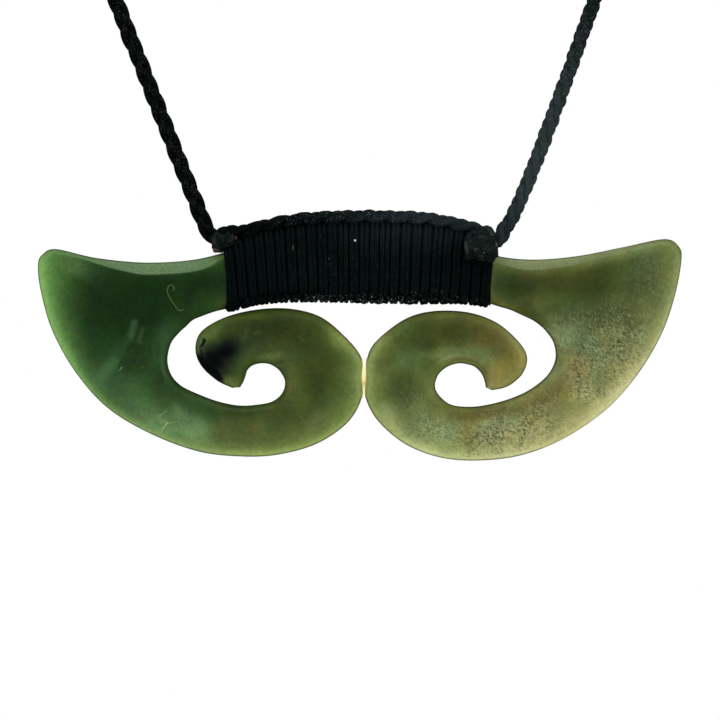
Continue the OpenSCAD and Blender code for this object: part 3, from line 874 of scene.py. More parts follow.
# The thin web: its top, its height, and its colours from the top down, near white as painted glow of light
# through it
WEB_TOP, WEB_TALL = -16.3, 6.9
WEB_SHADES = [
    (0.0, (252, 250, 240)), (0.3, (250, 240, 190)), (0.55, (236, 224, 160)),
    (0.66, (206, 186, 128)), (0.76, (246, 238, 190)), (1.0, (250, 246, 222)),
]


def line_group():
    """A soft straight line in the plane of the plate."""
    tree, given, out = new_group("Line", [
        ("Position", VECTOR, None),
        ("From", VECTOR, (0, 0, 0)),
        ("Run", VECTOR, (1, 0, 0)),
        ("Half Width", FLOAT, 0.1),
    ], [("Mask", FLOAT)])
    flat = vector_calc(tree, "MULTIPLY", given["Position"], (1, 0, 1))
    local = vector_calc(tree, "SUBTRACT", flat, given["From"])
    share = calc(tree, "DIVIDE", vector_calc(tree, "DOT_PRODUCT", local, given["Run"], output=1),
                 vector_calc(tree, "DOT_PRODUCT", given["Run"], given["Run"], output=1), clamp=True)
    nearest = vector_calc(tree, "SCALE", given["Run"], share)
    away = vector_calc(tree, "LENGTH", vector_calc(tree, "SUBTRACT", local, nearest), output=1)
    tree.links.new(fade(tree, calc(tree, "DIVIDE", away, given["Half Width"]), 0.0, 1.2), out["Mask"])
    return tree


LINE = line_group()


def line(tree, position, x0, z0, x1, z1, half_width):
    """The mask of one hairline."""
    return add(tree, "ShaderNodeGroup", {
        "Position": position, "From": (x0, 0, z0), "Run": (x1 - x0, 0, z1 - z0), "Half Width": half_width,
    }, node_tree=LINE).outputs["Mask"]


def dash_mask(tree, position, turn, size, low, high):
    """Short strokes that lie one way, turned down to the right by so many degrees."""
    laid = add(tree, "ShaderNodeMapping", {
        "Vector": position, "Rotation": (0, math.radians(turn), 0), "Scale": (3.2, 1.0, 1.0),
    }, vector_type="TEXTURE").outputs[0]
    return fade(tree, cloud(tree, laid, size, 1, 0.5), high, low)


def mottled(tree, colour, position, dashes):
    """Fine mottling, a little stronger where dashes lie."""
    mottle = fade(tree, cloud(tree, position, 1.3, 6, 0.75), 0.68, 0.32)
    grain = mix(tree, mottle, (0.22, 0.22, 0.2, 1), (0.8, 0.78, 0.76, 1))
    return mix(tree, calc(tree, "MULTIPLY_ADD", dashes, 0.16, 0.28), colour, grain, "OVERLAY")


def dashed(tree, colour, position, warped, dashes):
    """Pale strokes and then dark ones, gathered in loose groups."""
    colour = lay(tree, colour, dashes, srgb(176, 176, 128), 0.12)
    pale = dash_mask(tree, warped, 56, 4.6, 0.53, 0.62)
    colour = lay(tree, colour, product(tree, pale, dashes), srgb(178, 180, 128), 0.45)
    steep = dash_mask(tree, warped, 50, 5.0, 0.55, 0.6)
    gentle = dash_mask(tree, position, 15, 4.6, 0.57, 0.63)
    dark = strongest(tree, [steep, product(tree, gentle, 0.8)])
    groups = fade(tree, cloud(tree, position, 0.42, 2), 0.58, 0.42)
    gathered = calc(tree, "MULTIPLY_ADD", groups, 0.4, 0.55)
    return mix(tree, product(tree, dark, dashes, gathered), colour, srgb(34, 56, 32))


def lined(tree, colour, position, warped):
    """Streaks and cracks, then the scratch and the specks, which are on the front only."""
    for x0, z0, x1, z1, half_width, strength, shade in LINES:
        streak = line(tree, warped, x0, z0, x1, z1, half_width)
        colour = lay(tree, colour, streak, srgb(*shade), strength)
    marks = [line(tree, position, *start, *end, SCRATCH_HALF) for start, end in zip(SCRATCH, SCRATCH[1:])]
    marks += [patch(tree, position, x, z, size, size) for x, z, size in SPECKS]
    seen = product(tree, strongest(tree, marks), in_front(tree, position))
    return lay(tree, colour, seen, srgb(124, 148, 86), 0.38)


def faceted(tree, colour, position):
    """The ground facets' painted highlight, paler for the top light and its sheen on them, and the dark line
    along their lower side.
    """
    facet = attribute(tree, "facet")
    right = fade(tree, separate(tree, position)["X"], 5.0, -5.0)
    facet_highlight = mix(tree, right, srgb(*FACET_HIGHLIGHT_LEFT), srgb(*FACET_HIGHLIGHT_RIGHT))
    ground = fade(tree, cloud(tree, position, 3.4, 4, 0.8), 0.66, 0.36)
    facet_highlight = mix(tree, 0.6, facet_highlight, mix(tree, ground, (0.16, 0.18, 0.14, 1), (0.8, 0.8, 0.76, 1)), "OVERLAY")
    taper = calc(tree, "SUBTRACT", 1.0, patch(tree, position, -23.4, -0.4, 2.6, 1.1, 28, 0.5))
    # Painted highlight: the facets are paler, for the top light and its sheen on them.
    colour = lay(tree, colour, product(tree, facet, taper), facet_highlight, 0.5)
    wings = strongest(tree, [
        patch(tree, position, -35, -0.5, 15, 6, 0, 0.3), patch(tree, position, 33, 0, 12, 6, 0, 0.3),
    ])
    brink = product(tree, wings, fade(tree, facet, 0.1, 0.02), fade(tree, facet, 0.25, 0.5))
    return lay(tree, colour, brink, srgb(20, 46, 20), 0.4)


def edged(tree, colour, position, warped):
    """A brown and a pale line round part of the right eye, and a painted shade as the thin dark outline of
    the whole stone.
    """
    edge = attribute(tree, "edge_mm")
    brown = product(tree, patch(tree, warped, 18.6, -17.9, 5.0, 2.4, -20, 0.7),
                    fade(tree, edge, 0.7, 0.4), fade(tree, edge, 0.8, 1.15))
    colour = lay(tree, colour, brown, srgb(88, 76, 24), 0.6)
    pale = product(tree, patch(tree, warped, 16.4, -17.0, 4.4, 1.8, -4, 0.8),
                   fade(tree, edge, 1.45, 1.2), fade(tree, edge, 1.5, 1.75))
    colour = lay(tree, colour, pale, srgb(150, 156, 98), 0.6)
    # The outline's painted shade is fainter by the web and along the right wing's rim, where the painted glow
    # is.
    by_web = patch(tree, position, 0.4, -19.8, 1.8, 4.0, 0, 0.4)
    by_rim = product(tree, patch(tree, position, 39, -27, 14, 6, 42, 0.6), 0.45)
    strength = calc(tree, "SUBTRACT", 0.7, strongest(tree, [by_web, by_rim]))
    # Painted shade: a thin dark line along the edges of the stone.
    outline = calc(tree, "MULTIPLY", fade(tree, edge, 0.09, 0.34), strength, clamp=True)
    return mix(tree, outline, colour, srgb(30, 44, 28))


def web_glow_colour(tree, position):
    """The web's colour from its top to its foot, near white as painted glow of light through it; it also
    colours the web's emission.
    """
    up = separate(tree, position)["Z"]
    down = calc(tree, "MULTIPLY_ADD", up, -1 / WEB_TALL, WEB_TOP / WEB_TALL, clamp=True)
    return ramp(tree, down, [(stop, srgb(*shade)) for stop, shade in WEB_SHADES])


def greenstone():
    """Polished nephrite: painted clouds of colour and painted glow at the rim, then mottling, dashes,
    hairlines, inclusion, a painted highlight on the facets, a painted shade round the edges and a painted
    glow in the web.
    """
    material, tree, shader = new_material("greenstone")
    position, warped = place(tree, 0.9, 0.8)
    dashes, web = attribute(tree, "dashes"), attribute(tree, "web")
    colour = attribute(tree, "stone_colour", "Color")
    colour = mottled(tree, colour, position, dashes)
    colour = dashed(tree, colour, position, warped, dashes)
    colour = lined(tree, colour, position, warped)
    ink = strongest(tree, [patch(tree, warped, *spot) for spot in INK])
    colour = lay(tree, colour, ink, srgb(2, 4, 4), 0.97)
    colour = faceted(tree, colour, position)
    colour = edged(tree, colour, position, warped)
    glow = web_glow_colour(tree, position)
    feed(tree, shader, {
        "Base Color": mix(tree, web, colour, glow),
        # The web is thin enough for light to come through it; that light is painted, as a glow that the web
        # gives off in its own colour.
        "Emission Color": glow,
        "Emission Strength": product(tree, web, 0.5),
        "Subsurface Weight": 0.2,
        "Subsurface Radius": (0.7, 1.0, 0.5),
        "Subsurface Scale": 1.0 * MM,
        "IOR": 1.61,
        "Specular IOR Level": 0.35,
        "Roughness": ranged(tree, cloud(tree, position, 0.9, 4), 0.3, 0.7, 0.3, 0.46),
        "Normal": bumped(tree, cloud(tree, position, 3.0, 6, 0.7), 0.25, 0.04),
    })
    return material


# Geometry Nodes

def geometry_tree(name, inputs):
    """An empty Geometry Nodes tree with named inputs, its given sockets, and a function that ends it."""
    tree = bpy.data.node_groups.new(name, "GeometryNodeTree")
    tree.interface.new_socket("Geometry", in_out="INPUT", socket_type="NodeSocketGeometry")
    for socket, kind in inputs:
        tree.interface.new_socket(socket, in_out="INPUT", socket_type="NodeSocket" + kind)
    tree.interface.new_socket("Material", in_out="INPUT", socket_type="NodeSocketMaterial")
    tree.interface.new_socket("Geometry", in_out="OUTPUT", socket_type="NodeSocketGeometry")
    given = add(tree, "NodeGroupInput").outputs

    def end(geometry):
        smooth = add(tree, "GeometryNodeSetShadeSmooth", {"Geometry": geometry}).outputs[0]
        real = add(tree, "GeometryNodeRealizeInstances", {"Geometry": smooth}).outputs[0]
        inputs = {"Geometry": real, "Material": given["Material"]}
        coated = add(tree, "GeometryNodeSetMaterial", inputs).outputs[0]
        add(tree, "NodeGroupOutput", {"Geometry": coated})

    return tree, given, end


def store(tree, geometry, name, value):
    """A value kept on each point of a curve, and so on the mesh made from it."""
    made = add(tree, "GeometryNodeStoreNamedAttribute", {"Geometry": geometry, "Name": name},
               data_type="FLOAT", domain="POINT")
    tree.links.new(value, next(s for s in made.inputs if s.name == "Value" and s.enabled))
    return made.outputs[0]


def evenly(tree, curve, step):
    """A curve with its points a step apart."""
    return add(tree, "GeometryNodeResampleCurve", {"Curve": curve, "Length": step}, mode="LENGTH").outputs[0]


def circle(tree, points, radius):
    """A circle of so many points."""
    return add(tree, "GeometryNodeCurvePrimitiveCircle", {"Resolution": points, "Radius": radius},
               mode="RADIUS").outputs[0]


def moved(tree, geometry, **inputs):
    """Geometry whose points are moved by an offset or to a position."""
    return add(tree, "GeometryNodeSetPosition", {"Geometry": geometry, **inputs}).outputs[0]


def stray_vector(tree, **inputs):
    """A random vector for each thing, from -1 to 1 each way."""
    return add(tree, "FunctionNodeRandomValue", {"Min": (-1, -1, -1), "Max": (1, 1, 1), **inputs},
               data_type="FLOAT_VECTOR").outputs[0]


def tube(tree, curve, radius, sides, caps=False):
    """A round tube on a curve, with its way along and around kept for the material."""
    length = add(tree, "GeometryNodeSplineParameter").outputs["Length"]
    turn = add(tree, "GeometryNodeSplineParameter").outputs["Factor"]
    return add(tree, "GeometryNodeCurveToMesh", {
        "Curve": store(tree, curve, "along", length),
        "Profile Curve": store(tree, circle(tree, sides, radius), "around", turn),
        "Fill Caps": caps,
    }).outputs[0]


def run_tree(guide, tree, name, **values):
    """The guide object through a tree, as a plain mesh object of its own. The guide is removed."""
    modifier = guide.modifiers.new("shape", "NODES")
    modifier.node_group = tree
    names = {item.name: item.identifier for item in tree.interface.items_tree if item.in_out == "INPUT"}
    for key, value in values.items():
        modifier[names[key.replace("_", " ")]] = value
    bpy.context.view_layer.update()
    shaped = guide.evaluated_get(bpy.context.evaluated_depsgraph_get())
    mesh = bpy.data.meshes.new_from_object(shaped)
    guide.modifiers.remove(modifier)
    bpy.data.objects.remove(guide)
    mesh.name = name
    return new_object(name, mesh)


def strands_tree():
    """Strands that run round a path and cross one another as in a plait, first flat and then turned."""
    tree, given, end = geometry_tree("Strands", [
        ("Strands", "Int"), ("Pitch", "Float"), ("Across", "Float"), ("Through", "Float"),
        ("Crossings", "Float"), ("Strand Radius", "Float"), ("Sides", "Int"),
        ("Step", "Float"), ("Wander", "Float"), ("Seed", "Float"),
        ("Turn", "Float"), ("Turn From", "Float"), ("Turn To", "Float"),
    ])
    path = add(tree, "GeometryNodeMeshToCurve", {"Mesh": given["Geometry"]}).outputs[0]
    even = evenly(tree, path, given["Step"])
    copies = add(tree, "GeometryNodeDuplicateElements", {"Geometry": even, "Amount": given["Strands"]},
                 domain="SPLINE")
    along = add(tree, "GeometryNodeSplineParameter").outputs["Length"]
    whole = calc(tree, "DIVIDE", along, given["Pitch"])
    share = calc(tree, "DIVIDE", copies.outputs["Duplicate Index"], given["Strands"])
    angle = product(tree, calc(tree, "ADD", whole, share), math.tau)
    crossing = product(tree, angle, given["Crossings"])
    tangent = add(tree, "GeometryNodeInputTangent").outputs[0]
    normal = vector_calc(tree, "NORMALIZE", vector_calc(tree, "CROSS_PRODUCT", tangent, (0, 1, 0)))
    binormal = vector_calc(tree, "CROSS_PRODUCT", tangent, normal)
    turned = product(tree, given["Turn"], fade(tree, along, given["Turn To"], given["Turn From"]))
    cosine, sine = calc(tree, "COSINE", turned), calc(tree, "SINE", turned)
    flat_way = vector_calc(tree, "ADD", vector_calc(tree, "SCALE", normal, cosine),
                           vector_calc(tree, "SCALE", binormal, sine))
    thin_way = vector_calc(tree, "SUBTRACT", vector_calc(tree, "SCALE", binormal, cosine),
                           vector_calc(tree, "SCALE", normal, sine))
    aside = product(tree, calc(tree, "SINE", angle), given["Across"])
    across = vector_calc(tree, "SCALE", flat_way, aside)
    forth = product(tree, calc(tree, "SINE", crossing), given["Through"])
    through = vector_calc(tree, "SCALE", thin_way, forth)
    here = add(tree, "GeometryNodeInputPosition").outputs[0]
    drift = add(tree, "ShaderNodeTexNoise", {
        "Vector": here, "W": calc(tree, "ADD", given["Seed"], copies.outputs["Duplicate Index"]),
        "Scale": 260.0, "Detail": 1.0,
    }, noise_dimensions="4D").outputs["Color"]
    drift = vector_calc(tree, "SUBTRACT", drift, (0.5, 0.5, 0.5))
    wander = vector_calc(tree, "SCALE", drift, given["Wander"])
    offset = vector_calc(tree, "ADD", vector_calc(tree, "ADD", across, through), wander)
    laid = moved(tree, copies.outputs["Geometry"], Offset=offset)
    end(tube(tree, laid, given["Strand Radius"], given["Sides"], caps=True))
    return tree


# Each ring of thread starts as a wide hoop of so many points.
HOOP_POINTS = 160


def winding_tree():
    """Rings of thread round a form, in close groups, each laid on the form's own surface."""
    tree, given, end = geometry_tree("Winding", [
        ("Threads", "Int"), ("Start", "Vector"), ("End", "Vector"), ("Pinch", "Float"),
        ("Lean", "Float"), ("Wobble", "Float"), ("Thread Radius", "Float"), ("Sides", "Int"),
        ("Reach", "Float"), ("Step", "Float"), ("Seed", "Int"),
    ])
    row = add(tree, "GeometryNodeMeshLine", {
        "Count": given["Threads"], "Start Location": given["Start"], "Offset": given["End"],
    }, mode="END_POINTS").outputs[0]
    hoop = circle(tree, HOOP_POINTS, given["Reach"])
    quarter = (0, math.pi / 2, 0)
    upright = add(tree, "GeometryNodeTransform", {"Geometry": hoop, "Rotation": quarter}).outputs[0]
    hoops = add(tree, "GeometryNodeInstanceOnPoints", {"Points": row, "Instance": upright}).outputs[0]
    real = add(tree, "GeometryNodeRealizeInstances", {"Geometry": hoops}).outputs[0]

    index = add(tree, "GeometryNodeCurveOfPoint").outputs["Curve Index"]
    odd = calc(tree, "MODULO", index, 2.0)
    here = add(tree, "GeometryNodeInputPosition").outputs[0]
    across = separate(tree, here)["X"]
    inward = vector_calc(tree, "MULTIPLY", vector_calc(tree, "SUBTRACT", given["Start"], here), (0, 1, 1))

    def landed():
        return add(tree, "GeometryNodeRaycast", {
            "Target Geometry": given["Geometry"], "Ray Direction": inward, "Ray Length": given["Reach"],
        }).outputs

    landing = separate(tree, landed()["Hit Position"])["Z"]
    middle = separate(tree, given["Start"])["Z"]
    up = calc(tree, "SUBTRACT", landing, middle)
    stray = separate(tree, stray_vector(tree, ID=index, Seed=given["Seed"]))["X"]
    wave = add(tree, "ShaderNodeTexNoise", {"Vector": here, "Scale": 90.0, "Detail": 1.0}).outputs["Fac"]
    shift = product(tree, calc(tree, "SUBTRACT", 0.5, odd), given["Pinch"])
    leaning = product(tree, across, up, given["Lean"])
    wobble = product(tree, calc(tree, "ADD", stray, calc(tree, "SUBTRACT", wave, 0.5)), given["Wobble"])
    sideways = calc(tree, "ADD", calc(tree, "ADD", shift, leaning), wobble)
    shifted = moved(tree, real, Offset=add(tree, "ShaderNodeCombineXYZ", {"X": sideways}).outputs[0])

    hit = landed()
    out = vector_calc(tree, "SCALE", hit["Hit Normal"], given["Thread Radius"])
    lifted = vector_calc(tree, "ADD", hit["Hit Position"], out)
    laid = moved(tree, shifted, Selection=hit["Is Hit"], Position=lifted)
    end(tube(tree, evenly(tree, laid, given["Step"]), given["Thread Radius"], given["Sides"]))
    return tree


def hitch_tree():
    """Small loops of thread in a row along a path, each turned a little its own way."""
    tree, given, end = geometry_tree("Hitches", [
        ("Count", "Int"), ("Loop Radius", "Float"), ("Thread Radius", "Float"), ("Turn", "Vector"),
        ("Stray", "Vector"), ("Flatten", "Vector"), ("Scatter", "Vector"), ("Seed", "Int"),
    ])
    path = add(tree, "GeometryNodeMeshToCurve", {"Mesh": given["Geometry"]}).outputs[0]
    points = add(tree, "GeometryNodeCurveToPoints", {"Curve": path, "Count": given["Count"]}).outputs[0]
    loop = tube(tree, circle(tree, 18, given["Loop Radius"]), given["Thread Radius"], 8)
    stray = stray_vector(tree, Seed=given["Seed"])
    turn = vector_calc(tree, "ADD", given["Turn"], vector_calc(tree, "MULTIPLY", stray, given["Stray"]))
    strewn = moved(tree, points, Offset=vector_calc(tree, "MULTIPLY", stray, given["Scatter"]))
    end(add(tree, "GeometryNodeInstanceOnPoints", {
        "Points": strewn, "Instance": loop, "Rotation": turn, "Scale": given["Flatten"],
    }).outputs[0])
    return tree


STRANDS, WINDING, HITCHES = strands_tree(), winding_tree(), hitch_tree()


def path_object(name, points_mm):
    """A guide for a tree: a line of edges through points in mm from the bar's middle."""
    mesh = bpy.data.meshes.new(name)
    mesh.from_pydata(metres(points_mm), [(i, i + 1) for i in range(len(points_mm) - 1)], [])
    return new_object(name, mesh)


# The neck cord

# The crest's upper outline, as the photo shows it: across, up
ARCH = [
    [-24, 4.9], [-21, 5.9], [-12, 8.0], [-3, 8.7], [8, 8.65], [12, 8.3], [16, 7.5], [19.5, 6.7], [23, 4.8],
]
# Columns: left cord across, left cord up, right cord across, right cord up, both back.
ROUTE = [
    [-21.1, 4.6, 22.9, 3.8, 1.6],
    [-22.6, 4.2, 23.4, 3.7, 1.8],
    [-24.1, 3.8, 23.9, 4.0, 1.9],
    [-25.2, 4.3, 24.4, 4.8, 1.9],
    [-26.1, 5.5, 24.9, 5.9, 1.9],
    [-26.9, 7.2, 25.8, 7.2, 1.9],
    [-29.2, 13, 28.4, 13, 2.2],
    [-33.2, 23, 32.3, 23, 3.2],
    [-37.6, 34, 36.3, 34, 5],
    [-42.0, 45, 40.3, 45, 8],
    [-47.3, 59, 45.4, 59, 13],
    [-53.0, 75, 51.2, 75, 21],
    [-58.2, 92, 57.0, 92, 32],
    [-61.8, 108, 61.4, 108, 46],
    [-63, 122, 63, 122, 61],
    [-60, 134, 60, 134, 77],
    [-52, 143, 52, 143, 92],
    [-40, 149, 40, 149, 103],
    [-24, 154, 24, 154, 111],
]
CLASP_END = [6, 113.5, 156]
# The short front length's way to the two melted ends: across, back, up
FRONT_LEFT = [[-23.6, -2.0, 4.4], [-22.2, -1.8, 5.1], [-20.4, -1.6, 4.9]]
FRONT_RIGHT = [[20.8, -1.9, 5.0], [21.6, -3.4, 4.6], [21.8, -5.0, 3.4]]
# Where across the bar the points of both stretches on its top lie
OVER_BAR = range(-18, 20, 4)
ALONG_FRONT = range(-16, 20, 4)
# The neck cord lies on the lashing this far behind the middle, and the front length this far before it.
BESIDE_MIDDLE = 1.45
# The middles of both lie this far under the crest's outline.
UNDER_CREST = 1.2
STRANDS_IN_PLAIT = 3
PLAIT_PITCH = 10.8
STRAND_R = 0.74
STRAND_ACROSS = 0.7
STRAND_THROUGH = 0.6
STRAND_SIDES = 10
STRAND_STEP = 0.42
# A plait lies flat to the front until it turns on edge, between these lengths along its path.
ON_EDGE = math.radians(85)
LEFT_OF_BAR, BEFORE_START = (242, 258), (-2, -1)
PATH_STEPS, ARCH_STEPS = 10, 8


def arch_at(x):
    """Height of the lashing's crest."""
    arch = smooth_rows(ARCH, ARCH_STEPS)
    return np.interp(x, arch[:, 0], arch[:, 1])


def plait(name, points, wander, seed, turn_over):
    """Strands plaited along a path. They lie flat to the front, and then on edge past a stretch of it."""
    return run_tree(
        path_object(name + "_path", smooth_rows(points, PATH_STEPS)), STRANDS, name, Strands=STRANDS_IN_PLAIT,
        Pitch=PLAIT_PITCH * MM, Across=STRAND_ACROSS * MM, Through=STRAND_THROUGH * MM, Crossings=2.0,
        Strand_Radius=STRAND_R * MM, Sides=STRAND_SIDES, Step=STRAND_STEP * MM, Wander=wander * MM,
        Seed=seed, Turn=ON_EDGE, Turn_From=turn_over[0] * MM, Turn_To=turn_over[1] * MM,
        Material=MATERIALS["plaited_cord"],
    )


def neck_cord():
    """The plaited cord from one side of the clasp, down, over the bar and up to the other side."""
    left = [[row[0], row[4], row[1]] for row in ROUTE] + [[-CLASP_END[0], *CLASP_END[1:]]]
    right = [[row[2], row[4], row[3]] for row in ROUTE] + [CLASP_END]
    over = [[x, BESIDE_MIDDLE, arch_at(x) - UNDER_CREST] for x in OVER_BAR]
    return plait("neck_cord", left[::-1] + over + right, wander=0.4, seed=3.0, turn_over=LEFT_OF_BAR)


def front_cord():
    """The plaited cord between the two melted ends, along the front of the bar's top."""
    over = [[x, -BESIDE_MIDDLE, arch_at(x) - UNDER_CREST] for x in ALONG_FRONT]
    return plait("front_cord", FRONT_LEFT + over + FRONT_RIGHT, wander=0.3, seed=5.0, turn_over=BEFORE_START)


# The lashing

LASH_LEFT, LASH_TOP_LEFT, LASH_RIGHT = -23.1, -20.9, 22.7
TURNS = 26
THREADS_PER_TURN = 2
# A thread's radius, and the depth that the wound layer takes up
THREAD_R = 0.46
THREAD_D = 0.88
LASH_GAP = 0.15
# Half depth of the form that the threads are laid on
FORM_HALF = PLATE_T / 2 + CROWN + LASH_GAP
# The lower side of the threads' form is this far above the bar's lower edge.
LOWER_IN = 0.05
LASH_TOP_R, LASH_LOW_R = 1.7, 1.3
CORNER_STEPS = 8
# The threads' top lies this far below the crest, where the two cords rest on it.
CREST_DROP = 1.75
# The form rises to the crest over a step that reaches this far to either side of LASH_TOP_LEFT.
CREST_STEP = 0.6
# The form reaches this far past the lashing at both ends, in sections this far apart.
FORM_PAST, FORM_STEP = 1.0, 0.22
# The lower layer's two skins, out from the form, how far inside the lashing's ends it stops, and its sections
UNDERLAY = [0.03, 0.36]
UNDERLAY_INSET, UNDERLAY_STEP = 0.35, 0.5
# Added to the end of a row of sections, so that the last one isn't lost
JUST_PAST = 0.01
# The bar's edges: the band's column, and how far out and how far down they are followed
BAR_LOWER, BAR_UPPER = (0, 27, -9), (2, 30, -3)
# Rows of hitches: forward of the form, below the bar's edge, in from the lashing's left end and its right
# end, count, turn, seed
HITCH_ROWS = [
    [0.7, 0.05, 0.6, 1.5, 26, (1.1, 0.3, 0.2), 4],
    [0.5, 0.3, 1.3, 1.3, 37, (1.5, -0.5, 0.4), 9],
]
HITCH_PATH_POINTS = 60
# How far the rows are pulled up along the bar: x, height
HITCH_LIFT = [
    [-23, 0.2], [-19, 0.1], [-14, 0.3], [-7, 0.25], [2, 0.05], [11, 0.05], [14, 0.2], [19, 0.25], [23, 0.5],
]


def edge_line(band, first, far, floor):
    """One edge of the bar as heights over a row of x values."""
    edge = band[:, first:first + 2]
    edge = edge[(np.abs(edge[:, 0]) < far) & (edge[:, 1] > floor)]
    order = np.argsort(edge[:, 0])
    return edge[order, 0], edge[order, 1]


def lashing_rings(band, stations, out):
    """Rounded box sections round the bar, a given way out from the surface that the threads lie on."""
    under, over = edge_line(band, *BAR_LOWER), edge_line(band, *BAR_UPPER)
    top_r, low_r = LASH_TOP_R, LASH_LOW_R
    rings = []
    for x in stations:
        low = np.interp(x, *under) + LOWER_IN
        plain = np.interp(x, *over) + LASH_GAP
        raised = np.interp(x, [LASH_TOP_LEFT - CREST_STEP, LASH_TOP_LEFT + CREST_STEP], [0, 1])
        high = plain + max(0, arch_at(x) - CREST_DROP - THREAD_D - plain) * raised
        corners = [
            (FORM_HALF - top_r, high - top_r, top_r, 0), (top_r - FORM_HALF, high - top_r, top_r, 90),
            (low_r - FORM_HALF, low + low_r, low_r, 180), (FORM_HALF - low_r, low + low_r, low_r, 270),
        ]
        ring = []
        for y, z, r, start in corners:
            for k in range(CORNER_STEPS + 1):
                a = math.radians(start + 90 * k / CORNER_STEPS)
                ring.append([x, y + (r + out) * math.cos(a), z + (r + out) * math.sin(a)])
        rings.append(ring)
    return rings


def lashing_form(band):
    """The surface that the threads are laid on. It goes when they are made."""
    stations = np.arange(LASH_LEFT - FORM_PAST, LASH_RIGHT + FORM_PAST + JUST_PAST, FORM_STEP)
    rings = lashing_rings(band, stations, 0)
    return mesh_object("lashing_form", np.concatenate(rings), skin_faces(len(rings), len(rings[0])))


def underlay(band):
    """A lower layer of the winding, which closes the gaps between the turns."""
    stations = np.arange(LASH_LEFT + UNDERLAY_INSET, LASH_RIGHT - UNDERLAY_INSET + JUST_PAST, UNDERLAY_STEP)
    inner, outer = (lashing_rings(band, stations, out) for out in UNDERLAY)
    count, sides = len(inner), len(inner[0])
    faces = skin_faces(count, sides, outward=False) + skin_faces(count, sides, first=count * sides)
    for k in range(sides):
        n = (k + 1) % sides
        faces.append((k, n, count * sides + n, count * sides + k))
        last = (count - 1) * sides
        faces.append((last + n, last + k, (2 * count - 1) * sides + k, (2 * count - 1) * sides + n))
    made = mesh_object("underlay", np.concatenate(inner + outer), faces)
    made.data.materials.append(MATERIALS["lashing_thread"])
    return made


def hitches(band, forward, below, from_left, from_right, count, turn, seed):
    """One row of hitches along the lashing's lower front edge."""
    xs = np.linspace(LASH_LEFT + from_left, LASH_RIGHT - from_right, HITCH_PATH_POINTS)
    heights = np.interp(xs, *edge_line(band, *BAR_LOWER)) - below + np.interp(xs, *np.transpose(HITCH_LIFT))
    path = [[x, -FORM_HALF - forward, height] for x, height in zip(xs, heights)]
    return run_tree(
        path_object("hitch_path", path), HITCHES, "hitches", Count=count, Loop_Radius=0.36 * MM,
        Thread_Radius=0.27 * MM, Turn=turn, Stray=(0.9, 0.8, 1.2), Flatten=(1.3, 1.0, 0.9),
        Scatter=(0.3 * MM, 0.1 * MM, 0.16 * MM), Seed=seed, Material=MATERIALS["lashing_thread"],
    )


def lashing(band):
    """The wound threads over their lower layer, and the hitches along their lower front edge."""
    pitch = (LASH_RIGHT - LASH_LEFT) / TURNS / THREADS_PER_TURN
    threads = run_tree(
        lashing_form(band), WINDING, "threads", Threads=TURNS * THREADS_PER_TURN,
        Start=metres([LASH_LEFT + pitch / 2, 0, 0]), End=metres([LASH_RIGHT - pitch / 2, 0, 0]),
        Pinch=0.15 * MM, Lean=4.5, Wobble=0.09 * MM, Thread_Radius=THREAD_R * MM, Sides=8,
        Reach=16 * MM, Step=0.5 * MM, Seed=7, Material=MATERIALS["lashing_thread"],
    )
    return join("lashing_thread", [underlay(band), threads, *(hitches(band, *row) for row in HITCH_ROWS)])


def join(name, objects):
    """Several mesh objects as one, whose parts keep their own faces."""
    with bpy.context.temp_override(active_object=objects[0], selected_editable_objects=objects):
        bpy.ops.object.join()
    objects[0].name = objects[0].data.name = name
    return objects[0]


# Black fibre finishes

def fibre_group():
    """Twisted filaments, painted shade darker in the grooves between them, random tone and lint on black
    thread, from its way along and around.
    """
    tree, given, out = new_group("Fibre", [
        ("Position", VECTOR, None),
        ("Along", FLOAT, 0.0),
        ("Around", FLOAT, 0.0),
        ("Filaments", FLOAT, 6.0),
        ("Twist", FLOAT, 0.3),
        ("Lint", FLOAT, 0.3),
    ], [("Shade", FLOAT), ("Lint", FLOAT), ("Height", FLOAT)])
    turns = calc(tree, "MULTIPLY_ADD", given["Along"], given["Twist"], given["Around"])
    wave = calc(tree, "SINE", product(tree, turns, given["Filaments"], math.tau))
    ridge = calc(tree, "MULTIPLY_ADD", wave, 0.5, 0.5)
    fine = cloud(tree, given["Position"], 5.0, 3, 0.7)
    broad = cloud(tree, given["Position"], 0.45, 2)
    height = calc(tree, "MULTIPLY_ADD", ridge, 0.6, product(tree, fine, 0.5))
    # Painted shade: lighter on the filaments' ridges and darker in the grooves between them, varied in broad
    # random patches.
    shade = product(tree, height, calc(tree, "MULTIPLY_ADD", broad, 1.4, 0.2))
    spots = fade(tree, cloud(tree, given["Position"], 2.4, 2, 0.6), 0.8, 0.72)
    tree.links.new(shade, out["Shade"])
    tree.links.new(product(tree, spots, given["Lint"]), out["Lint"])
    tree.links.new(height, out["Height"])
    return tree


FIBRE = fibre_group()


# Waxed black thread shines a little blue-green.
WAX_TINT = (0.6, 0.95, 1.0, 1)


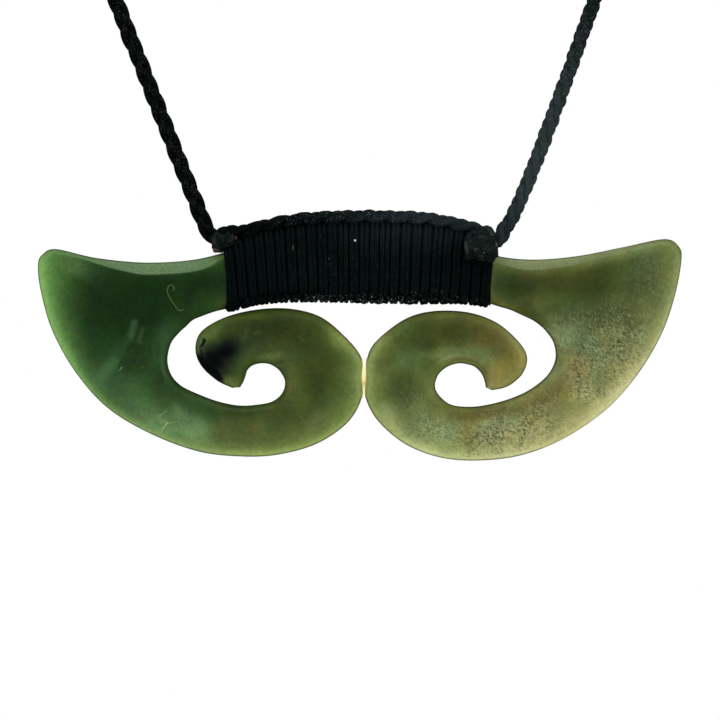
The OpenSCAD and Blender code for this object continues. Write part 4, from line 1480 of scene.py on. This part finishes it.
def black_fibre(
    name, dark, light, lint, filaments, twist, bump_mm, roughness, specular, specks=(), painted_sheen=(), dust_and_glints=(),
):
    """Waxed black thread or cord. Specks, painted sheen, and light flecks that are partly dust and partly
    painted glints: [x, z, half length, half height, turn, colour].
    """
    material, tree, shader = new_material(name)
    position, _ = place(tree, 0.0, 0.2)
    fibre = add(tree, "ShaderNodeGroup", {
        "Position": position, "Along": product(tree, attribute(tree, "along"), 1 / MM),
        "Around": attribute(tree, "around"), "Filaments": filaments, "Twist": twist, "Lint": lint,
    }, node_tree=FIBRE)
    # Painted shade: the thread's dark colour in the grooves between filaments and its light one on their
    # ridges.
    colour = mix(tree, fibre.outputs["Shade"], dark, light)
    # Painted sheen: paler blue-green patches where light falls on the thread.
    for *shape, pale in painted_sheen:
        shade = calc(tree, "MULTIPLY_ADD", fibre.outputs["Shade"], 0.9, 0.35)
        colour = lay(tree, colour, patch(tree, position, *shape, soft=0.9), pale, shade)
    colour = mix(tree, fibre.outputs["Lint"], colour, srgb(96, 98, 92))
    # Light flecks: partly lint and dust, partly painted glints.
    for *shape, dust in dust_and_glints:
        flecks = fade(tree, cloud(tree, position, 4.4, 2, 0.6), 0.7, 0.6)
        colour = lay(tree, colour, patch(tree, position, *shape, soft=0.5), dust, flecks)
    for *shape, speck in specks:
        colour = lay(tree, colour, patch(tree, position, *shape, soft=0.6), speck, in_front(tree, position))
    feed(tree, shader, {
        "Base Color": colour,
        "Roughness": ranged(tree, fibre.outputs["Shade"], 0.0, 1.0, roughness + 0.1, roughness - 0.08),
        "Normal": bumped(tree, fibre.outputs["Height"], 0.5, bump_mm),
        "Specular IOR Level": specular,
        "Specular Tint": WAX_TINT,
    })
    return material


# Burnt colour on the melted ends: x, z, half length, half height, turn, colour
BURNT = [
    [-21.4, 4.9, 0.6, 0.2, -35, srgb(84, 64, 48)],
    [-21.0, 4.0, 0.2, 0.8, 0, srgb(104, 80, 58)],
    [-21.3, 3.0, 0.5, 0.2, 40, srgb(78, 60, 46)],
    [-24.6, 2.0, 0.9, 0.4, -20, srgb(92, 66, 56)],
    [-24.9, 3.6, 0.5, 1.0, 0, srgb(40, 42, 42)],
    [18.0, 2.4, 0.3, 1.4, 0, srgb(60, 56, 52)],
    [19.7, 2.1, 0.6, 0.16, 0, srgb(84, 66, 46)],
    [20.9, 1.4, 0.16, 0.14, 0, srgb(104, 98, 84)],
    [22.4, 4.6, 0.4, 0.3, 0, srgb(76, 56, 38)],
    [20.8, 4.2, 0.9, 0.3, 0, srgb(40, 40, 28)],
    [23.2, 3.0, 0.2, 0.6, 0, srgb(104, 94, 82)],
]


def melted_cord():
    """Charred, fused cord: dull black with grey crust and tan burnt spots."""
    material, tree, shader = new_material("melted_cord")
    position, warped = place(tree, 0.8, 1.0)
    crust = fade(tree, cloud(tree, warped, 1.4, 4, 0.7), 0.7, 0.42)
    colour = mix(tree, crust, srgb(4, 9, 7), srgb(27, 34, 28))
    crumbs = fade(tree, cloud(tree, position, 4.0, 2, 0.6), 0.72, 0.58)
    colour = lay(tree, colour, crumbs, srgb(72, 80, 64), 0.55)
    for *shape, burnt in BURNT:
        colour = mix(tree, patch(tree, warped, *shape, soft=0.7), colour, burnt)
    feed(tree, shader, {
        "Base Color": colour,
        "Roughness": 0.5,
        "Specular IOR Level": 0.4,
        "Specular Tint": WAX_TINT,
        "Normal": bumped(tree, cloud(tree, position, 2.2, 5, 0.7), 0.8, 0.25),
    })
    return material


def horn():
    """Dark polished horn for the clasp."""
    material, tree, shader = new_material("clasp_horn")
    _, warped = place(tree, 1.5, 0.3)
    grain = add(tree, "ShaderNodeMapping", {"Vector": warped, "Scale": (0.25, 1.0, 1.0)}).outputs[0]
    streak = fade(tree, cloud(tree, grain, 1.2, 4, 0.6), 0.7, 0.35)
    feed(tree, shader, {
        "Base Color": mix(tree, streak, srgb(24, 20, 16), srgb(66, 52, 38)),
        "Roughness": 0.28,
        "Normal": bumped(tree, cloud(tree, grain, 3.0, 4), 0.3, 0.03),
    })
    return material


# Melted ends

# Columns: across, back from the lashing's front face, up, half depth, half height.
END_LEFT = [
    [-25.3, 2.6, 3.2, 0.5, 0.7],
    [-25.0, 2.6, 3.3, 1.2, 1.4],
    [-24.3, 2.6, 3.4, 1.7, 1.9],
    [-23.5, 2.5, 3.5, 1.8, 1.9],
    [-23.0, 2.5, 3.7, 1.8, 1.75],
    [-22.2, 2.5, 3.9, 1.9, 1.7],
    [-21.5, 2.5, 4.0, 1.8, 1.6],
    [-21.1, 2.5, 4.1, 1.3, 1.1],
]
END_RIGHT = [
    [17.7, -1.1, 2.4, 0.6, 1.1],
    [18.0, -1.2, 2.4, 1.3, 2.0],
    [18.7, -1.2, 2.5, 1.4, 2.4],
    [19.3, -1.1, 2.5, 1.2, 2.0],
    [20.5, -1.2, 2.4, 1.3, 2.3],
    [21.8, -1.2, 2.4, 1.4, 2.6],
    [22.8, -1.1, 2.3, 1.3, 2.3],
    [23.4, -1.1, 2.2, 0.7, 1.3],
]
LASH_FRONT = -FORM_HALF - THREAD_D
END_STEPS = 8
END_SIDES = 48
# How rough the ends are in mm, the lumps and crumbs for each mm, and how much the crumbs count
ROUGH = 0.28
LUMPS, CRUMBS, CRUMB_SHARE = 0.9, 2.6, 0.7


def melted_end(name, rows, seed):
    """A fused lump through the rows, roughened by noise."""
    rows = smooth_rows(rows, END_STEPS)
    points = []
    for x, back, up, half_y, half_z in rows:
        for k in range(END_SIDES):
            a = math.tau * k / END_SIDES
            points.append([x, LASH_FRONT + back + half_y * math.cos(a), up - half_z * math.sin(a)])
    points = np.array(points)
    middle = points.mean(axis=0)
    for p in points:
        lump = noise.noise(Vector(p) * LUMPS + Vector((seed, 0, 0)))
        crumb = noise.noise(Vector(p) * CRUMBS + Vector((0, seed, 0)))
        out = (p - middle) / np.linalg.norm(p - middle)
        p += out * (lump + crumb * CRUMB_SHARE) * ROUGH
    return mesh_object(name, points, skin_faces(len(rows), END_SIDES) + end_faces(len(rows), END_SIDES))


# Making the pieces

MATERIALS = {
    "greenstone": greenstone(),
    "lashing_thread": black_fibre(
        "lashing_thread", srgb(0, 3, 3), srgb(4, 11, 10),
        lint=0.3, filaments=5.0, twist=0.35, bump_mm=0.05, roughness=0.55, specular=0.17,
        specks=[
            [-0.85, 3.6, 0.24, 0.24, 0, srgb(215, 215, 212)],
            [-11.4, 2.4, 0.2, 0.6, 0, srgb(66, 56, 38)],
            [-5.3, 0.5, 0.14, 0.14, 0, srgb(86, 88, 84)],
        ],
        # Painted sheen over the lashing's upper right.
        painted_sheen=[[10, 5.4, 21, 5.8, 0, srgb(15, 25, 26)]],
        # Light flecks, partly dust and partly painted glints.
        dust_and_glints=[
            [-1.5, -6.6, 15, 1.5, 0, srgb(150, 158, 154)],
            [14, -6.0, 10, 1.6, -6, srgb(76, 84, 80)],
            [0, 0, 22, 8, 0, srgb(36, 46, 46)],
        ],
    ),
    "plaited_cord": black_fibre(
        "plaited_cord", srgb(1, 1, 1), srgb(9, 8, 8),
        lint=0.5, filaments=7.0, twist=0.22, bump_mm=0.08, roughness=0.55, specular=0.16,
        # Painted sheen on the right cord and along the crest.
        painted_sheen=[
            [31, 12, 22, 50, 0, srgb(47, 56, 56)],
            [15, 7.8, 26, 3.4, 0, srgb(33, 41, 45)],
        ],
        # Light flecks, partly lint and partly painted glints; those on the left cord are painted glints.
        dust_and_glints=[
            [0, 8.0, 24, 3.0, 0, srgb(92, 100, 100)],
            [36, 24, 14, 40, 0, srgb(92, 96, 100)],
            [-36, 24, 16, 44, 0, srgb(66, 64, 68)],
        ],
    ),
    "melted_cord": melted_cord(),
    "clasp_horn": horn(),
}


def finish_piece(piece, slot, *nodes):
    """The piece takes its slot's material, rides on the one body and stands for its nodes."""
    if not piece.data.materials:
        piece.data.materials.append(MATERIALS[slot])
    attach(piece, "root")
    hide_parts(*nodes)


finish_piece(mesh_object("koru_stone", *stone_mesh()), "greenstone", "koru_plate")
finish_piece(lashing(stone_band()), "lashing_thread", "binding")
finish_piece(neck_cord(), "plaited_cord", "cord_left", "cord_right")
finish_piece(front_cord(), "plaited_cord", "binding")
finish_piece(melted_end("melted_end_left", END_LEFT, 3.0), "melted_cord", "cord_end_left")
finish_piece(melted_end("melted_end_right", END_RIGHT, 9.0), "melted_cord", "cord_end_right")
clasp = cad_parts["clasp"]
clasp.data.materials.clear()
clasp.data.materials.append(MATERIALS["clasp_horn"])


# Stage, light and camera

FLOOR_Z = -0.5
FLOOR_R = 2.4
FLOOR_SIDES = 96
# The picture's width at the plate, and the height of its middle
PICTURE_W = 0.12298
PICTURE_Z = -0.17274
LENS, SENSOR = 300.0, 36.0


def stage():
    """A pale round floor, well below the necklace."""
    mesh = bpy.data.meshes.new("floor")
    turns = [math.tau * k / FLOOR_SIDES for k in range(FLOOR_SIDES)]
    rim = [(FLOOR_R * math.cos(turn), FLOOR_R * math.sin(turn), FLOOR_Z) for turn in turns]
    mesh.from_pydata(rim, [], [tuple(range(FLOOR_SIDES))])
    floor = new_object("floor", mesh)
    material, tree, shader = new_material("pale_floor")
    feed(tree, shader, {
        "Base Color": (0.9, 0.9, 0.9, 1),
        "Roughness": 0.9,
        "Specular IOR Level": 0.0,
        "Emission Color": (1, 1, 1, 1),
        "Emission Strength": 0.2,
    })
    mesh.materials.append(material)
    floor.visible_glossy = False


def area_light(name, place_at, size, watts):
    """A square soft light that faces the breastplate."""
    light = bpy.data.lights.new(name, "AREA")
    light.shape, light.size, light.energy = "SQUARE", size, watts
    made = new_object(name, light)
    made.location = place_at
    aim = Vector((BAR * MM).tolist()) - Vector(place_at)
    made.rotation_euler = aim.to_track_quat("-Z", "Y").to_euler()


def world_light():
    """A white surround to the camera, and a softer one for what it lights and is mirrored in."""
    world = bpy.data.worlds.new("studio")
    world.use_nodes = True
    tree = world.node_tree
    tree.nodes.clear()
    rays = add(tree, "ShaderNodeLightPath").outputs
    soft, dim, white = (
        add(tree, "ShaderNodeBackground", {"Color": (1, 1, 1, 1), "Strength": strength}).outputs[0]
        for strength in (0.86, 0.03, 1.0)
    )
    lit = add(tree, "ShaderNodeMixShader", {0: rays["Is Glossy Ray"], 1: soft, 2: dim}).outputs[0]
    seen = add(tree, "ShaderNodeMixShader", {0: rays["Is Camera Ray"], 1: lit, 2: white}).outputs[0]
    add(tree, "ShaderNodeOutputWorld", {"Surface": seen})
    bpy.context.scene.world = world


def camera():
    """A long lens, level, straight in front of the breastplate."""
    data = bpy.data.cameras.new("camera")
    data.lens, data.sensor_width = LENS, SENSOR
    data.clip_start, data.clip_end = 0.05, 60.0
    made = new_object("camera", data)
    distance = PICTURE_W * LENS / SENSOR
    made.location = (0, BAR[1] * MM - distance, PICTURE_Z)
    made.rotation_euler = (math.pi / 2, 0, 0)
    bpy.context.scene.camera = made


stage()
world_light()
area_light("top_light", (0.0, -0.5, 1.1), 1.1, 2.5)
area_light("left_light", (-1.2, -0.8, 0.1), 0.9, 1.8)
area_light("right_light", (1.2, -0.8, 0.3), 0.9, 3.0)
camera()
bpy.context.scene.view_settings.view_transform = "Standard"
